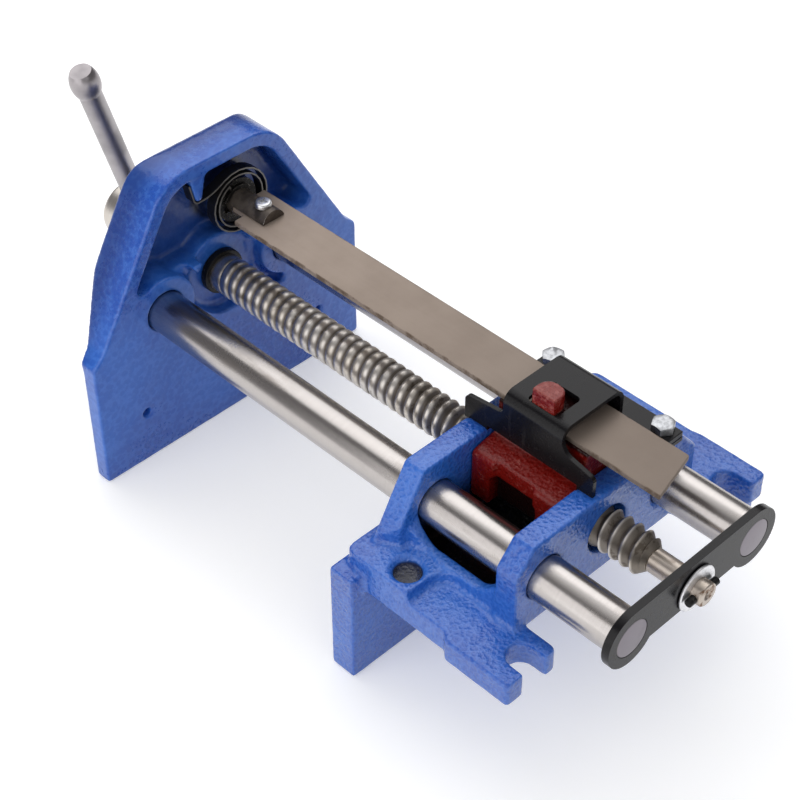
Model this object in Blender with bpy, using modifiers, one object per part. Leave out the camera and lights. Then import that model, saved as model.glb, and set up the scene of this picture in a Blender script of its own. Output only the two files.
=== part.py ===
"""Quick-release woodworking vise, modelled in Blender 4.5. Metres, +Z up.

The vise stands upside down on the top edges of its two jaws, the way it is often shown off the bench.
+Y runs from the front jaw to the rear end plate, and X = 0 is the plane of symmetry of the castings.
Lengths along Y are measured from the working face of the front jaw. One empty carries every piece and
moves the whole vise so that the middle of its footprint is the world's origin.
"""

from math import acos, atan2, ceil, cos, pi, radians, sin, sqrt, tan

import bmesh
import bpy
from mathutils import Matrix, Vector

# Fits, gaps and the facets of round shapes
REST_GAP = 0.0003
RUNNING_GAP = 0.0002
OVERRUN = 0.006
WELD_DISTANCE = 0.0000005
ROUND_STEPS = 32
SMALL_ROUND_STEPS = 16
ARC_STEP = radians(15)
CHORD_ERROR = 0.00005

# Height of the screw and the guide rods, from which every rise and drop is measured
AXIS_HEIGHT = 0.0879

# Front jaw casting
JAW_WIDTH = 0.178
JAW_PLATE_THICKNESS = 0.0097
SHOULDER_DROP = 0.0124
SHOULDER_TOP_WIDTH = 0.165
SHOULDER_RISE = 0.0058
SHOULDER_FILLET = 0.012
ARCH_RISE = 0.0756
ARCH_CORNER_WIDTH = 0.0694
ARCH_RADIUS = 0.0278
ARCH_DEPTH = 0.026
ARCH_FOOT_DROP = 0.0159
ARCH_FULL_DEPTH_RISE = 0.0241
ARCH_FOOT_FILLET = 0.02
ARCH_EDGE_FILLET = 0.008
RIM_THICKNESS = 0.008
POCKET_DEPTH = 0.019
POCKET_FLOOR_RISE = 0.0161
POCKET_CORNER_FILLET = 0.004
MOAT_DEPTH = 0.007
MOAT_BOTTOM_DROP = 0.0259
MOAT_HALF_WIDTH = 0.037
ROD_BOSS_RADIUS = 0.0193
ROD_MOAT_WIDTH = 0.0055
ROD_FRONT_BOSS_DEPTH = 0.024
ROD_FRONT_BOSS_RADIUS = 0.0175
ROD_SEAT_DEPTH = 0.0205
SCREW_BOSS_RADIUS = 0.0215
SCREW_BOSS_FACE_DEPTH = 0.008
SCREW_BOSS_RECESS_MARGIN = 0.0005
BOSS_OVERLAP = 0.002
SCREW_FRONT_BOSS_RADIUS = 0.02
SCREW_FRONT_BOSS_DEPTH = 0.033
SPINDLE_BOSS_RADIUS = 0.0135
SPINDLE_BOSS_FACE_DEPTH = 0.0102
SPINDLE_FRONT_BOSS_DEPTH = 0.0315
CHEEK_HOLE_RADIUS = 0.0028
CHEEK_HOLE_OFFSET = 0.0599
CHEEK_HOLE_HEIGHT = 0.0306
TOOTH_TIP_X = 0.0142
TOOTH_TIP_RISE = 0.0549
TOOTH_TIP_RADIUS = 0.0022
TOOTH_ROOT_WIDTH = 0.013
TOOTH_FACE_DEPTH = 0.0005

# Guide rods, end plate and the screw's rear end
ROD_SPACING = 0.0831
ROD_RADIUS = 0.011
SPIGOT_RADIUS = 0.0096
ROD_CHAMFER = 0.0008
END_PLATE_FRONT = 0.3008
END_PLATE_THICKNESS = 0.004
END_PLATE_LOBE_RADIUS = 0.0153
END_PLATE_WAIST_DROP = 0.0088

# Main screw, its head, collar, washer and pin
THREAD_LEAD = 0.006
THREAD_RADIUS = 0.0105
THREAD_ROOT_RADIUS = 0.0082
THREAD_CREST_WIDTH = 0.0024
THREAD_FOOT_WIDTH = 0.0042
THREAD_START = -0.0022
THREAD_END = 0.282
THREAD_STEPS = 12
THREAD_RADIAL_GAP = 0.00055
THREAD_FLANK_GAP = 0.00035
SHANK_RADIUS = 0.0102
SHANK_OVERLAP = 0.003
SCREW_HEAD_RADIUS = 0.016
SCREW_HEAD_FRONT = -0.085
SCREW_HEAD_LENGTH = 0.035
SCREW_HEAD_ROUNDING = 0.0025
SCREW_SHOULDER_RADIUS = 0.0135
JOURNAL_RADIUS = 0.006
STUB_END = 0.312
STUB_CHAMFER = 0.0008
CENTRE_HOLE_RADIUS = 0.0026
CENTRE_HOLE_DEPTH = 0.004
COLLAR_RADIUS = 0.0135
COLLAR_LENGTH = 0.005
COLLAR_CHAMFER = 0.0008
WASHER_RADIUS = 0.0118
WASHER_THICKNESS = 0.0015
END_PIN_RADIUS = 0.002
END_PIN_LENGTH = 0.02

# Tommy bar
HANDLE_LEAN = radians(15.6)
HANDLE_RADIUS = 0.006
HANDLE_UPPER_LENGTH = 0.1078
HANDLE_LOWER_LENGTH = 0.0835
HANDLE_HOLE_GAP = 0.0004
HANDLE_KNOB_RADIUS = 0.0078
HANDLE_KNOB_LENGTH = 0.0145
HANDLE_KNOB_FLAT_SHARE = 0.72
HANDLE_CAP_BORE_DEPTH = 0.008

# Rear jaw casting
REAR_FACE = 0.1693
REAR_JAW_THICKNESS = 0.0146
REAR_JAW_DROP = 0.023
FLANGE_HALF_WIDTH = 0.0818
FLANGE_FRONT = 0.1718
FLANGE_UNDERSIDE_DROP = 0.0332
FLANGE_TOP_DROP = 0.0196
FLANGE_CORNER_FILLET = 0.005
PAD_TOP_DROP = 0.014
PAD_END = 0.2113
PAD_INNER_FILLET = 0.01
PAD_HOLLOW_RADIUS = 0.0133
LUG_JOG_START = 0.2345
LUG_JOG_END = 0.2385
LUG_HALF_WIDTH = 0.0855
LUG_END = 0.2756
LUG_INNER = 0.0543
LUG_CORNER_FILLET = 0.0025
SLOT_CENTRE_X = 0.0681
SLOT_WIDTH = 0.0142
SLOT_CENTRE_Y = 0.2677
SCREW_HOLE_X = 0.0708
SCREW_HOLE_Y = 0.2011
SCREW_HOLE_RADIUS = 0.0043
COUNTERSINK_RADIUS = 0.0088
WALL_TOP_RISE = 0.0236
WALL_TOP_HALF_WIDTH = 0.05
WALL_1_START = 0.178
WALL_1_END = 0.19
WALL_1_FOOT_HALF_WIDTH = 0.0715
WALL_2_START = 0.2435
WALL_2_END = 0.2557
WALL_2_HALF_WIDTH = 0.0605
WALL_2_SHOULDER_RISE = 0.0114
WALL_2_UNDERSIDE_DROP = 0.0239
WALL_1_TRIM_INNER = 0.064
WALL_1_TRIM_OUTER = 0.07
WALL_CORNER_FILLET = 0.003
WEB_INNER = 0.0533
WEB_THICKNESS = 0.0058
WEB_TOP_DROP = 0.0124
WEB_END_RISE = 0.01
WEB_END_FILLET = 0.012
SCREW_PASSAGE_RADIUS = 0.0125
EAR_NOTCH_DEPTH = 0.0015

# Release bar and the axis that it turns about
RELEASE_X = -0.0115
RELEASE_RISE = 0.0399
BAR_WIDTH = 0.0286
BAR_THICKNESS = 0.0026
BAR_START = 0.001
BAR_END = 0.2794
BAR_NOTCH_LENGTH = 0.0095
BAR_CORNER_FILLET = 0.0008

# Release spindle, hub, lever, pin and tongue screw
SPINDLE_RADIUS = 0.0072
SPINDLE_FRONT = -0.0415
TONGUE_END = 0.024
HUB_RADIUS = 0.0122
HUB_LENGTH = 0.0066
HUB_STEP_RADIUS = 0.0096
HUB_STEP_LENGTH = 0.0018
HUB_NOTCH_WIDTH = 0.0044
HUB_NOTCH_DEPTH = 0.0028
HUB_DOG_WIDTH = 0.006
TONGUE_SCREW_Y = 0.0165
TONGUE_SCREW_RADIUS = 0.0018
TONGUE_SCREW_HEAD_RADIUS = 0.0031
TONGUE_SCREW_HEAD_HEIGHT = 0.0018
TONGUE_SEAT_RADIUS = 0.0036
TONGUE_SEAT_DEPTH = 0.0008
CROSS_RECESS_WIDTH = 0.0009
CROSS_RECESS_LENGTH = 0.0034
CROSS_RECESS_DEPTH = 0.001
LEVER_BOSS_RADIUS = 0.0115
LEVER_BOSS_LENGTH = 0.0095
LEVER_ARM_THICKNESS = 0.006
LEVER_REACH = 0.055
LEVER_DROP = radians(25)
LEVER_ROOT_HALF_WIDTH = 0.0085
LEVER_TIP_HALF_WIDTH = 0.0065
LEVER_PIN_RADIUS = 0.0015
RELEASE_ANGLE = radians(9)

# Torsion spring, a flat strip wound on edge
SPRING_INNER_RADIUS = 0.01305
SPRING_OUTER_RADIUS = 0.0188
SPRING_TURNS = 2
SPRING_THICKNESS = 0.0009
SPRING_WIDTH = 0.0062
SPRING_NEAR_DEPTH = 0.0012
SPRING_LEAVE_ANGLE = radians(62)
SPRING_POINTS_PER_TURN = 24
SPRING_TANG_LENGTH = 0.0018
SPRING_HOOK_LENGTH = 0.01
SPRING_BEND_POINTS = 7
SPRING_REACH_SHARE = 0.42

# Half nut
NUT_END_GAP = 0.0005
NUT_SADDLE_LEFT = -0.028
NUT_SADDLE_RISE = 0.0306
NUT_FLANK_TOP_X = 0.0046
NUT_FLANK_RISE = 0.0204
NUT_RIDGE_X = 0.02
NUT_RIDGE_RISE = 0.0176
NUT_RIDGE_FILLET = 0.003
NUT_FOOT_DROP = 0.0089
NUT_FOOT_INNER_X = 0.0076
NUT_LIP_X = 0.001
NUT_LIP_RISE = 0.0106
NUT_NECK_X = -0.008
NUT_NECK_RISE = 0.0181
NUT_RECESS_DEPTH = 0.007
NUT_RECESS_START = 0.2015
NUT_RECESS_END = 0.2295
NUT_RECESS_RISE = 0.0091
NUT_RECESS_FILLET = 0.004
NUT_RELIEF_DEPTH = 0.0023
NUT_RELIEF_START = 0.2035
NUT_RELIEF_END = 0.2278
YOKE_START = 0.206
YOKE_END = 0.228
YOKE_WALL = 0.0025
YOKE_TOP_RISE = 0.0045
PEG_FLAT_X = 0.0047
PEG_WIDTH = 0.0102
PEG_START = 0.211
PEG_END = 0.224
PEG_RISE = 0.0581
PEG_ROUND_SHARE = 0.85

# Saddle bracket, keeper strip and bolts
SHEET_THICKNESS = 0.0022
BRACKET_LEFT_X = 0.0095
BRACKET_RIGHT_X = -0.0315
BRACKET_RISE = 0.0504
BRACKET_BEND_RADIUS = 0.0062
BRACKET_FLANGE_BEND_RADIUS = 0.0034
ROOF_START = 0.1988
ROOF_END = 0.2336
LEG_EDGE_RISE = 0.0251
FRONT_EAR_START = 0.176
FRONT_EAR_RISE = 0.0356
REAR_EAR_END = 0.2525
REAR_EAR_RISE = 0.0341
EAR_ROOT_RISE = 0.0383
EAR_FILLET = 0.003
ROOF_FILLET = 0.007
EAR_BASE_GAP = 0.001
ROOF_SLOT_LEFT = 0.005
ROOF_SLOT_WIDTH = 0.017
ROOF_SLOT_START = 0.2082
ROOF_SLOT_END = 0.2257
ROOF_SLOT_FILLET = 0.0025
STRIP_INNER_X = -0.0358
STRIP_WIDTH = 0.0108
STRIP_START = 0.178
STRIP_END = 0.257
STRIP_THICKNESS = 0.003
BOLT_SHANK_RADIUS = 0.00285
BOLT_HOLE_RADIUS = 0.0031
BOLT_HEAD_WIDTH = 0.01
BOLT_HEAD_HEIGHT = 0.004
BOLT_GRIP = 0.009
BOLT_HEAD_CHAMFER = 0.0006

# Heights worked out from the rises and drops above
SHOULDER_HEIGHT = AXIS_HEIGHT - SHOULDER_DROP
ARCH_HEIGHT = AXIS_HEIGHT + ARCH_RISE
ARCH_FOOT_HEIGHT = AXIS_HEIGHT - ARCH_FOOT_DROP
ARCH_FULL_DEPTH_HEIGHT = AXIS_HEIGHT + ARCH_FULL_DEPTH_RISE
POCKET_FLOOR_HEIGHT = AXIS_HEIGHT + POCKET_FLOOR_RISE
MOAT_BOTTOM_HEIGHT = AXIS_HEIGHT - MOAT_BOTTOM_DROP
TOOTH_TIP_HEIGHT = AXIS_HEIGHT + TOOTH_TIP_RISE
REAR_JAW_HEIGHT = AXIS_HEIGHT - REAR_JAW_DROP
FLANGE_UNDERSIDE = AXIS_HEIGHT - FLANGE_UNDERSIDE_DROP
FLANGE_TOP = AXIS_HEIGHT - FLANGE_TOP_DROP
PAD_TOP = AXIS_HEIGHT - PAD_TOP_DROP
WALL_TOP = AXIS_HEIGHT + WALL_TOP_RISE
WALL_2_SHOULDER = AXIS_HEIGHT + WALL_2_SHOULDER_RISE
WALL_2_UNDERSIDE = AXIS_HEIGHT - WALL_2_UNDERSIDE_DROP
WEB_TOP = AXIS_HEIGHT - WEB_TOP_DROP
RELEASE_HEIGHT = AXIS_HEIGHT + RELEASE_RISE
NUT_SADDLE_HEIGHT = AXIS_HEIGHT + NUT_SADDLE_RISE
NUT_FLANK_HEIGHT = AXIS_HEIGHT + NUT_FLANK_RISE
NUT_RIDGE_HEIGHT = AXIS_HEIGHT + NUT_RIDGE_RISE
NUT_FOOT_HEIGHT = AXIS_HEIGHT - NUT_FOOT_DROP
NUT_LIP_HEIGHT = AXIS_HEIGHT + NUT_LIP_RISE
NUT_NECK_HEIGHT = AXIS_HEIGHT + NUT_NECK_RISE
NUT_RECESS_TOP = AXIS_HEIGHT + NUT_RECESS_RISE
PEG_TOP = AXIS_HEIGHT + PEG_RISE
BRACKET_TOP = AXIS_HEIGHT + BRACKET_RISE
LEG_EDGE_HEIGHT = AXIS_HEIGHT + LEG_EDGE_RISE
FRONT_EAR_TOP = AXIS_HEIGHT + FRONT_EAR_RISE
REAR_EAR_TOP = AXIS_HEIGHT + REAR_EAR_RISE
EAR_ROOT_TOP = AXIS_HEIGHT + EAR_ROOT_RISE

# Other values worked out from the ones above
RODS = {"left": 1, "right": -1}
ROD_X = ROD_SPACING / 2
END_PLATE_REAR = END_PLATE_FRONT + END_PLATE_THICKNESS
SCREW_HEAD_REAR = SCREW_HEAD_FRONT + SCREW_HEAD_LENGTH
HANDLE_Y = SCREW_HEAD_FRONT + SCREW_HEAD_LENGTH / 2
HANDLE_PLACE = Matrix.Translation((0, HANDLE_Y, AXIS_HEIGHT)) @ Matrix.Rotation(HANDLE_LEAN, 4, "Y")
MAIN_AXIS = (0, AXIS_HEIGHT)
RELEASE_AXIS = (RELEASE_X, RELEASE_HEIGHT)
SCREW_BORE_RADIUS = THREAD_RADIUS + RUNNING_GAP * 2
BAR_TOP = RELEASE_HEIGHT + BAR_THICKNESS / 2
BAR_UNDERSIDE = RELEASE_HEIGHT - BAR_THICKNESS / 2
REAR_JAW_BACK = REAR_FACE + REAR_JAW_THICKNESS
FLANGE_SHEET_TOP = WALL_TOP + REST_GAP + SHEET_THICKNESS
STRIP_UNDERSIDE = FLANGE_SHEET_TOP + REST_GAP
STRIP_TOP = STRIP_UNDERSIDE + STRIP_THICKNESS
BOLT_X = STRIP_INNER_X - STRIP_WIDTH / 2
BOLTS_Y = {"front": (WALL_1_START + WALL_1_END) / 2, "rear": (WALL_2_START + WALL_2_END) / 2}
NUT_START = WALL_1_END + NUT_END_GAP
NUT_END = WALL_2_START - NUT_END_GAP
PIN_Y = END_PLATE_REAR + REST_GAP + WASHER_THICKNESS + REST_GAP + END_PIN_RADIUS
HUB_FRONT = -SPINDLE_BOSS_FACE_DEPTH + REST_GAP
EAR_BASE = WALL_TOP - EAR_NOTCH_DEPTH + REST_GAP
BOLT_END = WALL_TOP - BOLT_GRIP
TONGUE_SEAT_HEIGHT = RELEASE_HEIGHT + SPINDLE_RADIUS - TONGUE_SEAT_DEPTH
LEVER_MIDDLE_Y = -SPINDLE_FRONT_BOSS_DEPTH - REST_GAP - LEVER_BOSS_LENGTH / 2
TOOTH_SIDE_HEIGHT = ARCH_HEIGHT - RIM_THICKNESS + OVERRUN - TOOTH_TIP_HEIGHT
FOOTPRINT_MIDDLE = (SCREW_HEAD_FRONT + STUB_END) / 2

# Materials: colour, roughness and metallic value
PAINTS = {
    "blue_paint": ((0.035, 0.105, 0.43), 0.42, 0.0),
    "red_casting": ((0.30, 0.022, 0.015), 0.62, 0.0),
    "black_sheet": ((0.014, 0.014, 0.016), 0.34, 0.2),
    "ground_steel": ((0.46, 0.45, 0.43), 0.24, 1.0),
    "screw_steel": ((0.42, 0.40, 0.37), 0.32, 1.0),
    "bar_steel": ((0.34, 0.30, 0.27), 0.45, 0.8),
    "zinc": ((0.66, 0.67, 0.68), 0.28, 1.0),
    "black_steel": ((0.022, 0.022, 0.024), 0.4, 0.6),
    "handle_steel": ((0.50, 0.50, 0.50), 0.3, 1.0),
}


def clear_scene():
    for obj in list(bpy.data.objects):
        bpy.data.objects.remove(obj)


def new_collection(name):
    collection = bpy.data.collections.new(name)
    bpy.context.scene.collection.children.link(collection)
    return collection


clear_scene()
VISE = new_collection("woodworking_vise")
CUTTERS = new_collection("cutters")
CARRIER = bpy.data.objects.new("vise_carrier", None)
CARRIER.location = (0, -FOOTPRINT_MIDDLE, 0)
VISE.objects.link(CARRIER)


def material(name):
    """The named finish, made once."""
    if name in bpy.data.materials:
        return bpy.data.materials[name]
    colour, roughness, metallic = PAINTS[name]
    made = bpy.data.materials.new(name)
    made.use_nodes = True
    shader = made.node_tree.nodes["Principled BSDF"]
    shader.inputs["Base Color"].default_value = (*colour, 1)
    shader.inputs["Roughness"].default_value = roughness
    shader.inputs["Metallic"].default_value = metallic
    return made


def add_object(name, mesh):
    """A piece of the vise, or with no paint yet a shape that cuts or joins another."""
    obj = bpy.data.objects.new(name, mesh)
    CUTTERS.objects.link(obj)
    obj.parent = CARRIER
    obj.hide_render = True
    obj.display_type = "WIRE"
    return obj


def finish(obj, paint, origin=(0, 0, 0)):
    """Makes a shape a visible piece with its paint, its smooth shading and its origin."""
    obj.data.transform(Matrix.Translation(-Vector(origin)))
    obj.location = origin
    obj.data.materials.clear()
    obj.data.materials.append(material(paint))
    obj.data.shade_smooth()
    obj.data.set_sharp_from_angle(angle=radians(30))
    obj.hide_render = False
    obj.display_type = "TEXTURED"
    CUTTERS.objects.unlink(obj)
    VISE.objects.link(obj)
    return obj


def boolean(obj, other, operation):
    modifier = obj.modifiers.new(f"{operation.lower()} {other.name}", "BOOLEAN")
    modifier.operation = operation
    modifier.object = other
    modifier.solver = "EXACT"


def cut(obj, *others):
    for other in others:
        boolean(obj, other, "DIFFERENCE")
    return obj


def join(obj, *others):
    for other in others:
        boolean(obj, other, "UNION")
    return obj


def keep_common(obj, *others):
    for other in others:
        boolean(obj, other, "INTERSECT")
    return obj


# How an outline's two axes and its extrusion lie in space: XY rises along Z, XZ along Y, YZ along X
PLANES = {
    "XY": Matrix.Identity(3),
    "XZ": Matrix(((1, 0, 0), (0, 0, -1), (0, 1, 0))),
    "YZ": Matrix(((0, 0, 1), (1, 0, 0), (0, 1, 0))),
}
RISE_AXIS = {"XY": Vector((0, 0, 1)), "XZ": Vector((0, 1, 0)), "YZ": Vector((1, 0, 0))}


def prism(name, plane, outlines, low, high):
    """A flat outline, or an outline with holes, made solid from low to high across its plane."""
    curve = bpy.data.curves.new(name, "CURVE")
    curve.dimensions = "2D"
    curve.fill_mode = "BOTH"
    curve.extrude = (high - low) / 2
    for outline in outlines:
        spline = curve.splines.new("POLY")
        spline.points.add(len(outline) - 1)
        for point, (u, v) in zip(spline.points, outline):
            point.co = (u, v, 0, 1)
        spline.use_cyclic_u = True
    helper = bpy.data.objects.new(name, curve)
    CUTTERS.objects.link(helper)
    graph = bpy.context.evaluated_depsgraph_get()
    mesh = bpy.data.meshes.new_from_object(helper.evaluated_get(graph))
    bpy.data.objects.remove(helper)
    middle = RISE_AXIS[plane] * (low + high) / 2
    mesh.transform(Matrix.Translation(middle) @ PLANES[plane].to_4x4())
    weld(mesh)
    return add_object(name, mesh)


def weld(mesh):
    """Joins loose caps to their sides and turns every face outwards."""
    work = bmesh.new()
    work.from_mesh(mesh)
    bmesh.ops.remove_doubles(work, verts=work.verts, dist=WELD_DISTANCE)
    bmesh.ops.recalc_face_normals(work, faces=work.faces)
    work.to_mesh(mesh)
    work.free()
    mesh.name = f"{mesh.name}_mesh"


def circle(centre, radius, steps=ROUND_STEPS):
    """Outline points round a centre."""
    return [
        (centre[0] + radius * cos(2 * pi * k / steps), centre[1] + radius * sin(2 * pi * k / steps))
        for k in range(steps)
    ]


def arc(centre, radius, start, end):
    """Outline points along an arc from one angle to another, both included, and closer on a wide arc."""
    widest = 2 * acos(1 - min(1, CHORD_ERROR / radius))
    steps = max(2, ceil(abs(end - start) / min(ARC_STEP, widest)))
    angles = [start + (end - start) * k / steps for k in range(steps + 1)]
    return [(centre[0] + radius * cos(a), centre[1] + radius * sin(a)) for a in angles]


def round_corner(before, here, after, radius):
    """Points of the arc that rounds the corner at here, or the corner itself with no radius."""
    here = Vector(here[:2])
    if not radius:
        return [tuple(here)]
    back = (Vector(before[:2]) - here).normalized()
    on = (Vector(after[:2]) - here).normalized()
    half_angle = back.angle(on) / 2
    centre = here + (back + on).normalized() * radius / sin(half_angle)
    first = here + back * radius / tan(half_angle) - centre
    last = here + on * radius / tan(half_angle) - centre
    start = atan2(first.y, first.x)
    turn = (atan2(last.y, last.x) - start + pi) % (2 * pi) - pi
    return arc(centre, radius, start, start + turn)


def filleted(corners):
    """A closed outline from its corners (u, v, radius), where a corner with no radius stays sharp."""
    outline = []
    for index, corner in enumerate(corners):
        after = corners[(index + 1) % len(corners)]
        outline += round_corner(corners[index - 1], corner, after, corner[2] if len(corner) > 2 else 0)
    return outline


def bent(corners):
    """An open path from its corners (u, v, radius), as the middle line of a folded sheet."""
    path = [tuple(corners[0][:2])]
    for before, corner, after in zip(corners, corners[1:], corners[2:]):
        path += round_corner(before, corner, after, corner[2] if len(corner) > 2 else 0)
    return path + [tuple(corners[-1][:2])]


def strip_outline(path, thickness):
    """The closed outline of a strip of even thickness along an open path."""
    sides = ([], [])
    for index, point in enumerate(path):
        before = Vector(path[max(index - 1, 0)])
        after = Vector(path[min(index + 1, len(path) - 1)])
        back = (Vector(point) - before).normalized() if index else (after - Vector(point)).normalized()
        on = (after - Vector(point)).normalized() if index < len(path) - 1 else back
        normal = Vector((-(back + on).y, (back + on).x)).normalized()
        reach = thickness / 2 / normal.dot(Vector((-on.y, on.x)))
        sides[0].append(tuple(Vector(point) + normal * reach))
        sides[1].append(tuple(Vector(point) - normal * reach))
    return sides[0] + sides[1][::-1]


def box_outline(u_low, u_high, v_low, v_high, fillet=0):
    corners = [(u_low, v_low), (u_high, v_low), (u_high, v_high), (u_low, v_high)]
    return filleted([(*corner, fillet) for corner in corners])


def mirrored(corners):
    """A closed outline from its half at positive u, listed from bottom to top."""
    return list(corners) + [(-corner[0], *corner[1:]) for corner in reversed(corners)]


def inset(corners, distance):
    """The straight-sided outline of corners moved inwards, for an outline listed anticlockwise."""
    moved = []
    for index, corner in enumerate(corners):
        here = Vector(corner[:2])
        before = (here - Vector(corners[index - 1][:2])).normalized()
        after = (Vector(corners[(index + 1) % len(corners)][:2]) - here).normalized()
        inward = (Vector((-before.y, before.x)) + Vector((-after.y, after.x))).normalized()
        moved.append(here + inward * distance / inward.dot(Vector((-before.y, before.x))))
    return moved


def along(axis, centre):
    """Turns a shape made about local Z to lie about a line along a world axis through two coordinates."""
    if axis == "X":
        return Matrix.Translation((0, *centre)) @ PLANES["YZ"].to_4x4()
    if axis == "Y":
        return Matrix.Translation((centre[0], 0, centre[1])) @ Matrix.Rotation(-pi / 2, 4, "X")
    return Matrix.Translation((*centre, 0))


def cylinder(name, place, radius, low, high, steps=ROUND_STEPS, high_radius=None):
    """A round bar, hole or cone about the local Z of its place matrix."""
    mesh = bpy.data.meshes.new(name)
    work = bmesh.new()
    far = radius if high_radius is None else high_radius
    bmesh.ops.create_cone(
        work, cap_ends=True, segments=steps, radius1=radius, radius2=far, depth=high - low
    )
    work.to_mesh(mesh)
    work.free()
    mesh.transform(place @ Matrix.Translation((0, 0, (low + high) / 2)))
    weld(mesh)
    return add_object(name, mesh)


def turned(name, place, profile, steps=ROUND_STEPS):
    """A solid of revolution about the local Z of its place matrix, from points (radius, along)."""
    mesh = bpy.data.meshes.new(name)
    work = bmesh.new()
    points = [work.verts.new((radius, 0, height)) for radius, height in profile]
    closing = [] if profile[0][0] == 0 else [(points[-1], points[0])]
    for first, second in list(zip(points, points[1:])) + closing:
        work.edges.new((first, second))
    bmesh.ops.spin(
        work, geom=work.verts[:] + work.edges[:], cent=(0, 0, 0), axis=(0, 0, 1),
        angle=2 * pi, steps=steps, use_merge=True,
    )
    work.to_mesh(mesh)
    work.free()
    mesh.transform(place)
    weld(mesh)
    return add_object(name, mesh)


def leads_before(length):
    """How many whole leads fit in a length, so that two threads of unlike start stay in phase."""
    return int(length / THREAD_LEAD)


def helix_solid(name, root, crest, foot_width, crest_width, start, end):
    """A screw thread about the main axis: one lead's profile swept by a Screw modifier, ends closed."""
    slope = (foot_width - crest_width) / 2
    profile = [
        (root, 0),
        (crest, slope),
        (crest, slope + crest_width),
        (root, foot_width),
        (root, THREAD_LEAD),
    ]
    mesh = bpy.data.meshes.new(name)
    work = bmesh.new()
    points = [work.verts.new((radius, 0, height - foot_width / 2)) for radius, height in reversed(profile)]
    for first, second in zip(points, points[1:]):
        work.edges.new((first, second))
    work.to_mesh(mesh)
    work.free()
    guide = bpy.data.objects.new(name, mesh)
    CUTTERS.objects.link(guide)
    screw = guide.modifiers.new("helix", "SCREW")
    screw.axis = "Z"
    screw.angle = 2 * pi
    screw.screw_offset = THREAD_LEAD
    screw.iterations = ceil((end - start) / THREAD_LEAD) + 3
    screw.steps = THREAD_STEPS
    screw.render_steps = THREAD_STEPS
    screw.use_merge_vertices = True
    screw.merge_threshold = WELD_DISTANCE
    graph = bpy.context.evaluated_depsgraph_get()
    swept = bpy.data.meshes.new_from_object(guide.evaluated_get(graph))
    bpy.data.objects.remove(guide)
    work = bmesh.new()
    work.from_mesh(swept)
    bmesh.ops.remove_doubles(work, verts=work.verts, dist=WELD_DISTANCE)
    bmesh.ops.holes_fill(work, edges=[edge for edge in work.edges if edge.is_boundary], sides=0)
    work.to_mesh(swept)
    work.free()
    leads = leads_before(start - THREAD_START) - 3 / 2
    first_turn = Matrix.Translation((0, THREAD_START + leads * THREAD_LEAD, 0))
    swept.transform(first_turn @ along("Y", MAIN_AXIS))
    weld(swept)
    helix = add_object(name, swept)
    ends = cylinder(f"{name} ends", along("Y", MAIN_AXIS), crest + OVERRUN, start, end)
    return keep_common(helix, ends)


def make_front_jaw():
    """Jaw plate that swells into a deeper arched box, pocketed from behind round its bosses."""
    half_outline = [
        (JAW_WIDTH / 2, 0),
        (JAW_WIDTH / 2, SHOULDER_HEIGHT),
        (SHOULDER_TOP_WIDTH / 2, SHOULDER_HEIGHT + SHOULDER_RISE, SHOULDER_FILLET),
        (ARCH_CORNER_WIDTH / 2, ARCH_HEIGHT, ARCH_RADIUS),
    ]
    corners = mirrored(half_outline)
    side = [
        (0, -OVERRUN),
        (0, ARCH_HEIGHT),
        (-ARCH_DEPTH, ARCH_HEIGHT, ARCH_EDGE_FILLET),
        (-ARCH_DEPTH, ARCH_FULL_DEPTH_HEIGHT, ARCH_FOOT_FILLET),
        (-JAW_PLATE_THICKNESS, ARCH_FOOT_HEIGHT, ARCH_FOOT_FILLET),
        (-JAW_PLATE_THICKNESS, -OVERRUN),
    ]
    jaw = prism("front_jaw", "XZ", [filleted(corners)], -ARCH_DEPTH - OVERRUN, OVERRUN)
    keep_common(jaw, prism("jaw side", "YZ", [filleted(side)], -JAW_WIDTH, JAW_WIDTH))
    cut(jaw, jaw_pocket(corners))
    recess_radius = SCREW_BOSS_RADIUS + SCREW_BOSS_RECESS_MARGIN
    cut(jaw, cylinder("boss recess", along("Y", MAIN_AXIS), recess_radius, -SCREW_BOSS_FACE_DEPTH, OVERRUN))
    front_bosses = [
        ("screw front boss", MAIN_AXIS, SCREW_FRONT_BOSS_RADIUS, SCREW_FRONT_BOSS_DEPTH),
        ("spindle front boss", RELEASE_AXIS, SPINDLE_BOSS_RADIUS, SPINDLE_FRONT_BOSS_DEPTH),
    ]
    for side_name, sign in RODS.items():
        rod_axis = (sign * ROD_X, AXIS_HEIGHT)
        front_bosses.append(
            (f"{side_name} rod front boss", rod_axis, ROD_FRONT_BOSS_RADIUS, ROD_FRONT_BOSS_DEPTH)
        )
    for name, axis, radius, depth in front_bosses:
        join(jaw, cylinder(name, along("Y", axis), radius, -depth, -POCKET_DEPTH - BOSS_OVERLAP))
    through = [
        ("screw bore", MAIN_AXIS, SCREW_BORE_RADIUS),
        ("spindle bore", RELEASE_AXIS, SPINDLE_RADIUS + RUNNING_GAP),
    ]
    for name, axis, radius in through:
        cut(jaw, cylinder(name, along("Y", axis), radius, -SCREW_FRONT_BOSS_DEPTH - OVERRUN, OVERRUN))
    for side_name, sign in RODS.items():
        rod_axis = (sign * ROD_X, AXIS_HEIGHT)
        cut(jaw, cylinder(
            f"{side_name} rod seat", along("Y", rod_axis), ROD_RADIUS + RUNNING_GAP, -ROD_SEAT_DEPTH, OVERRUN
        ))
        cheek = along("Y", (sign * CHEEK_HOLE_OFFSET, CHEEK_HOLE_HEIGHT))
        cut(jaw, cylinder(
            f"{side_name} cheek hole", cheek, CHEEK_HOLE_RADIUS,
            -JAW_PLATE_THICKNESS - OVERRUN, OVERRUN, SMALL_ROUND_STEPS,
        ))
    finish(jaw, "blue_paint")


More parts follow.
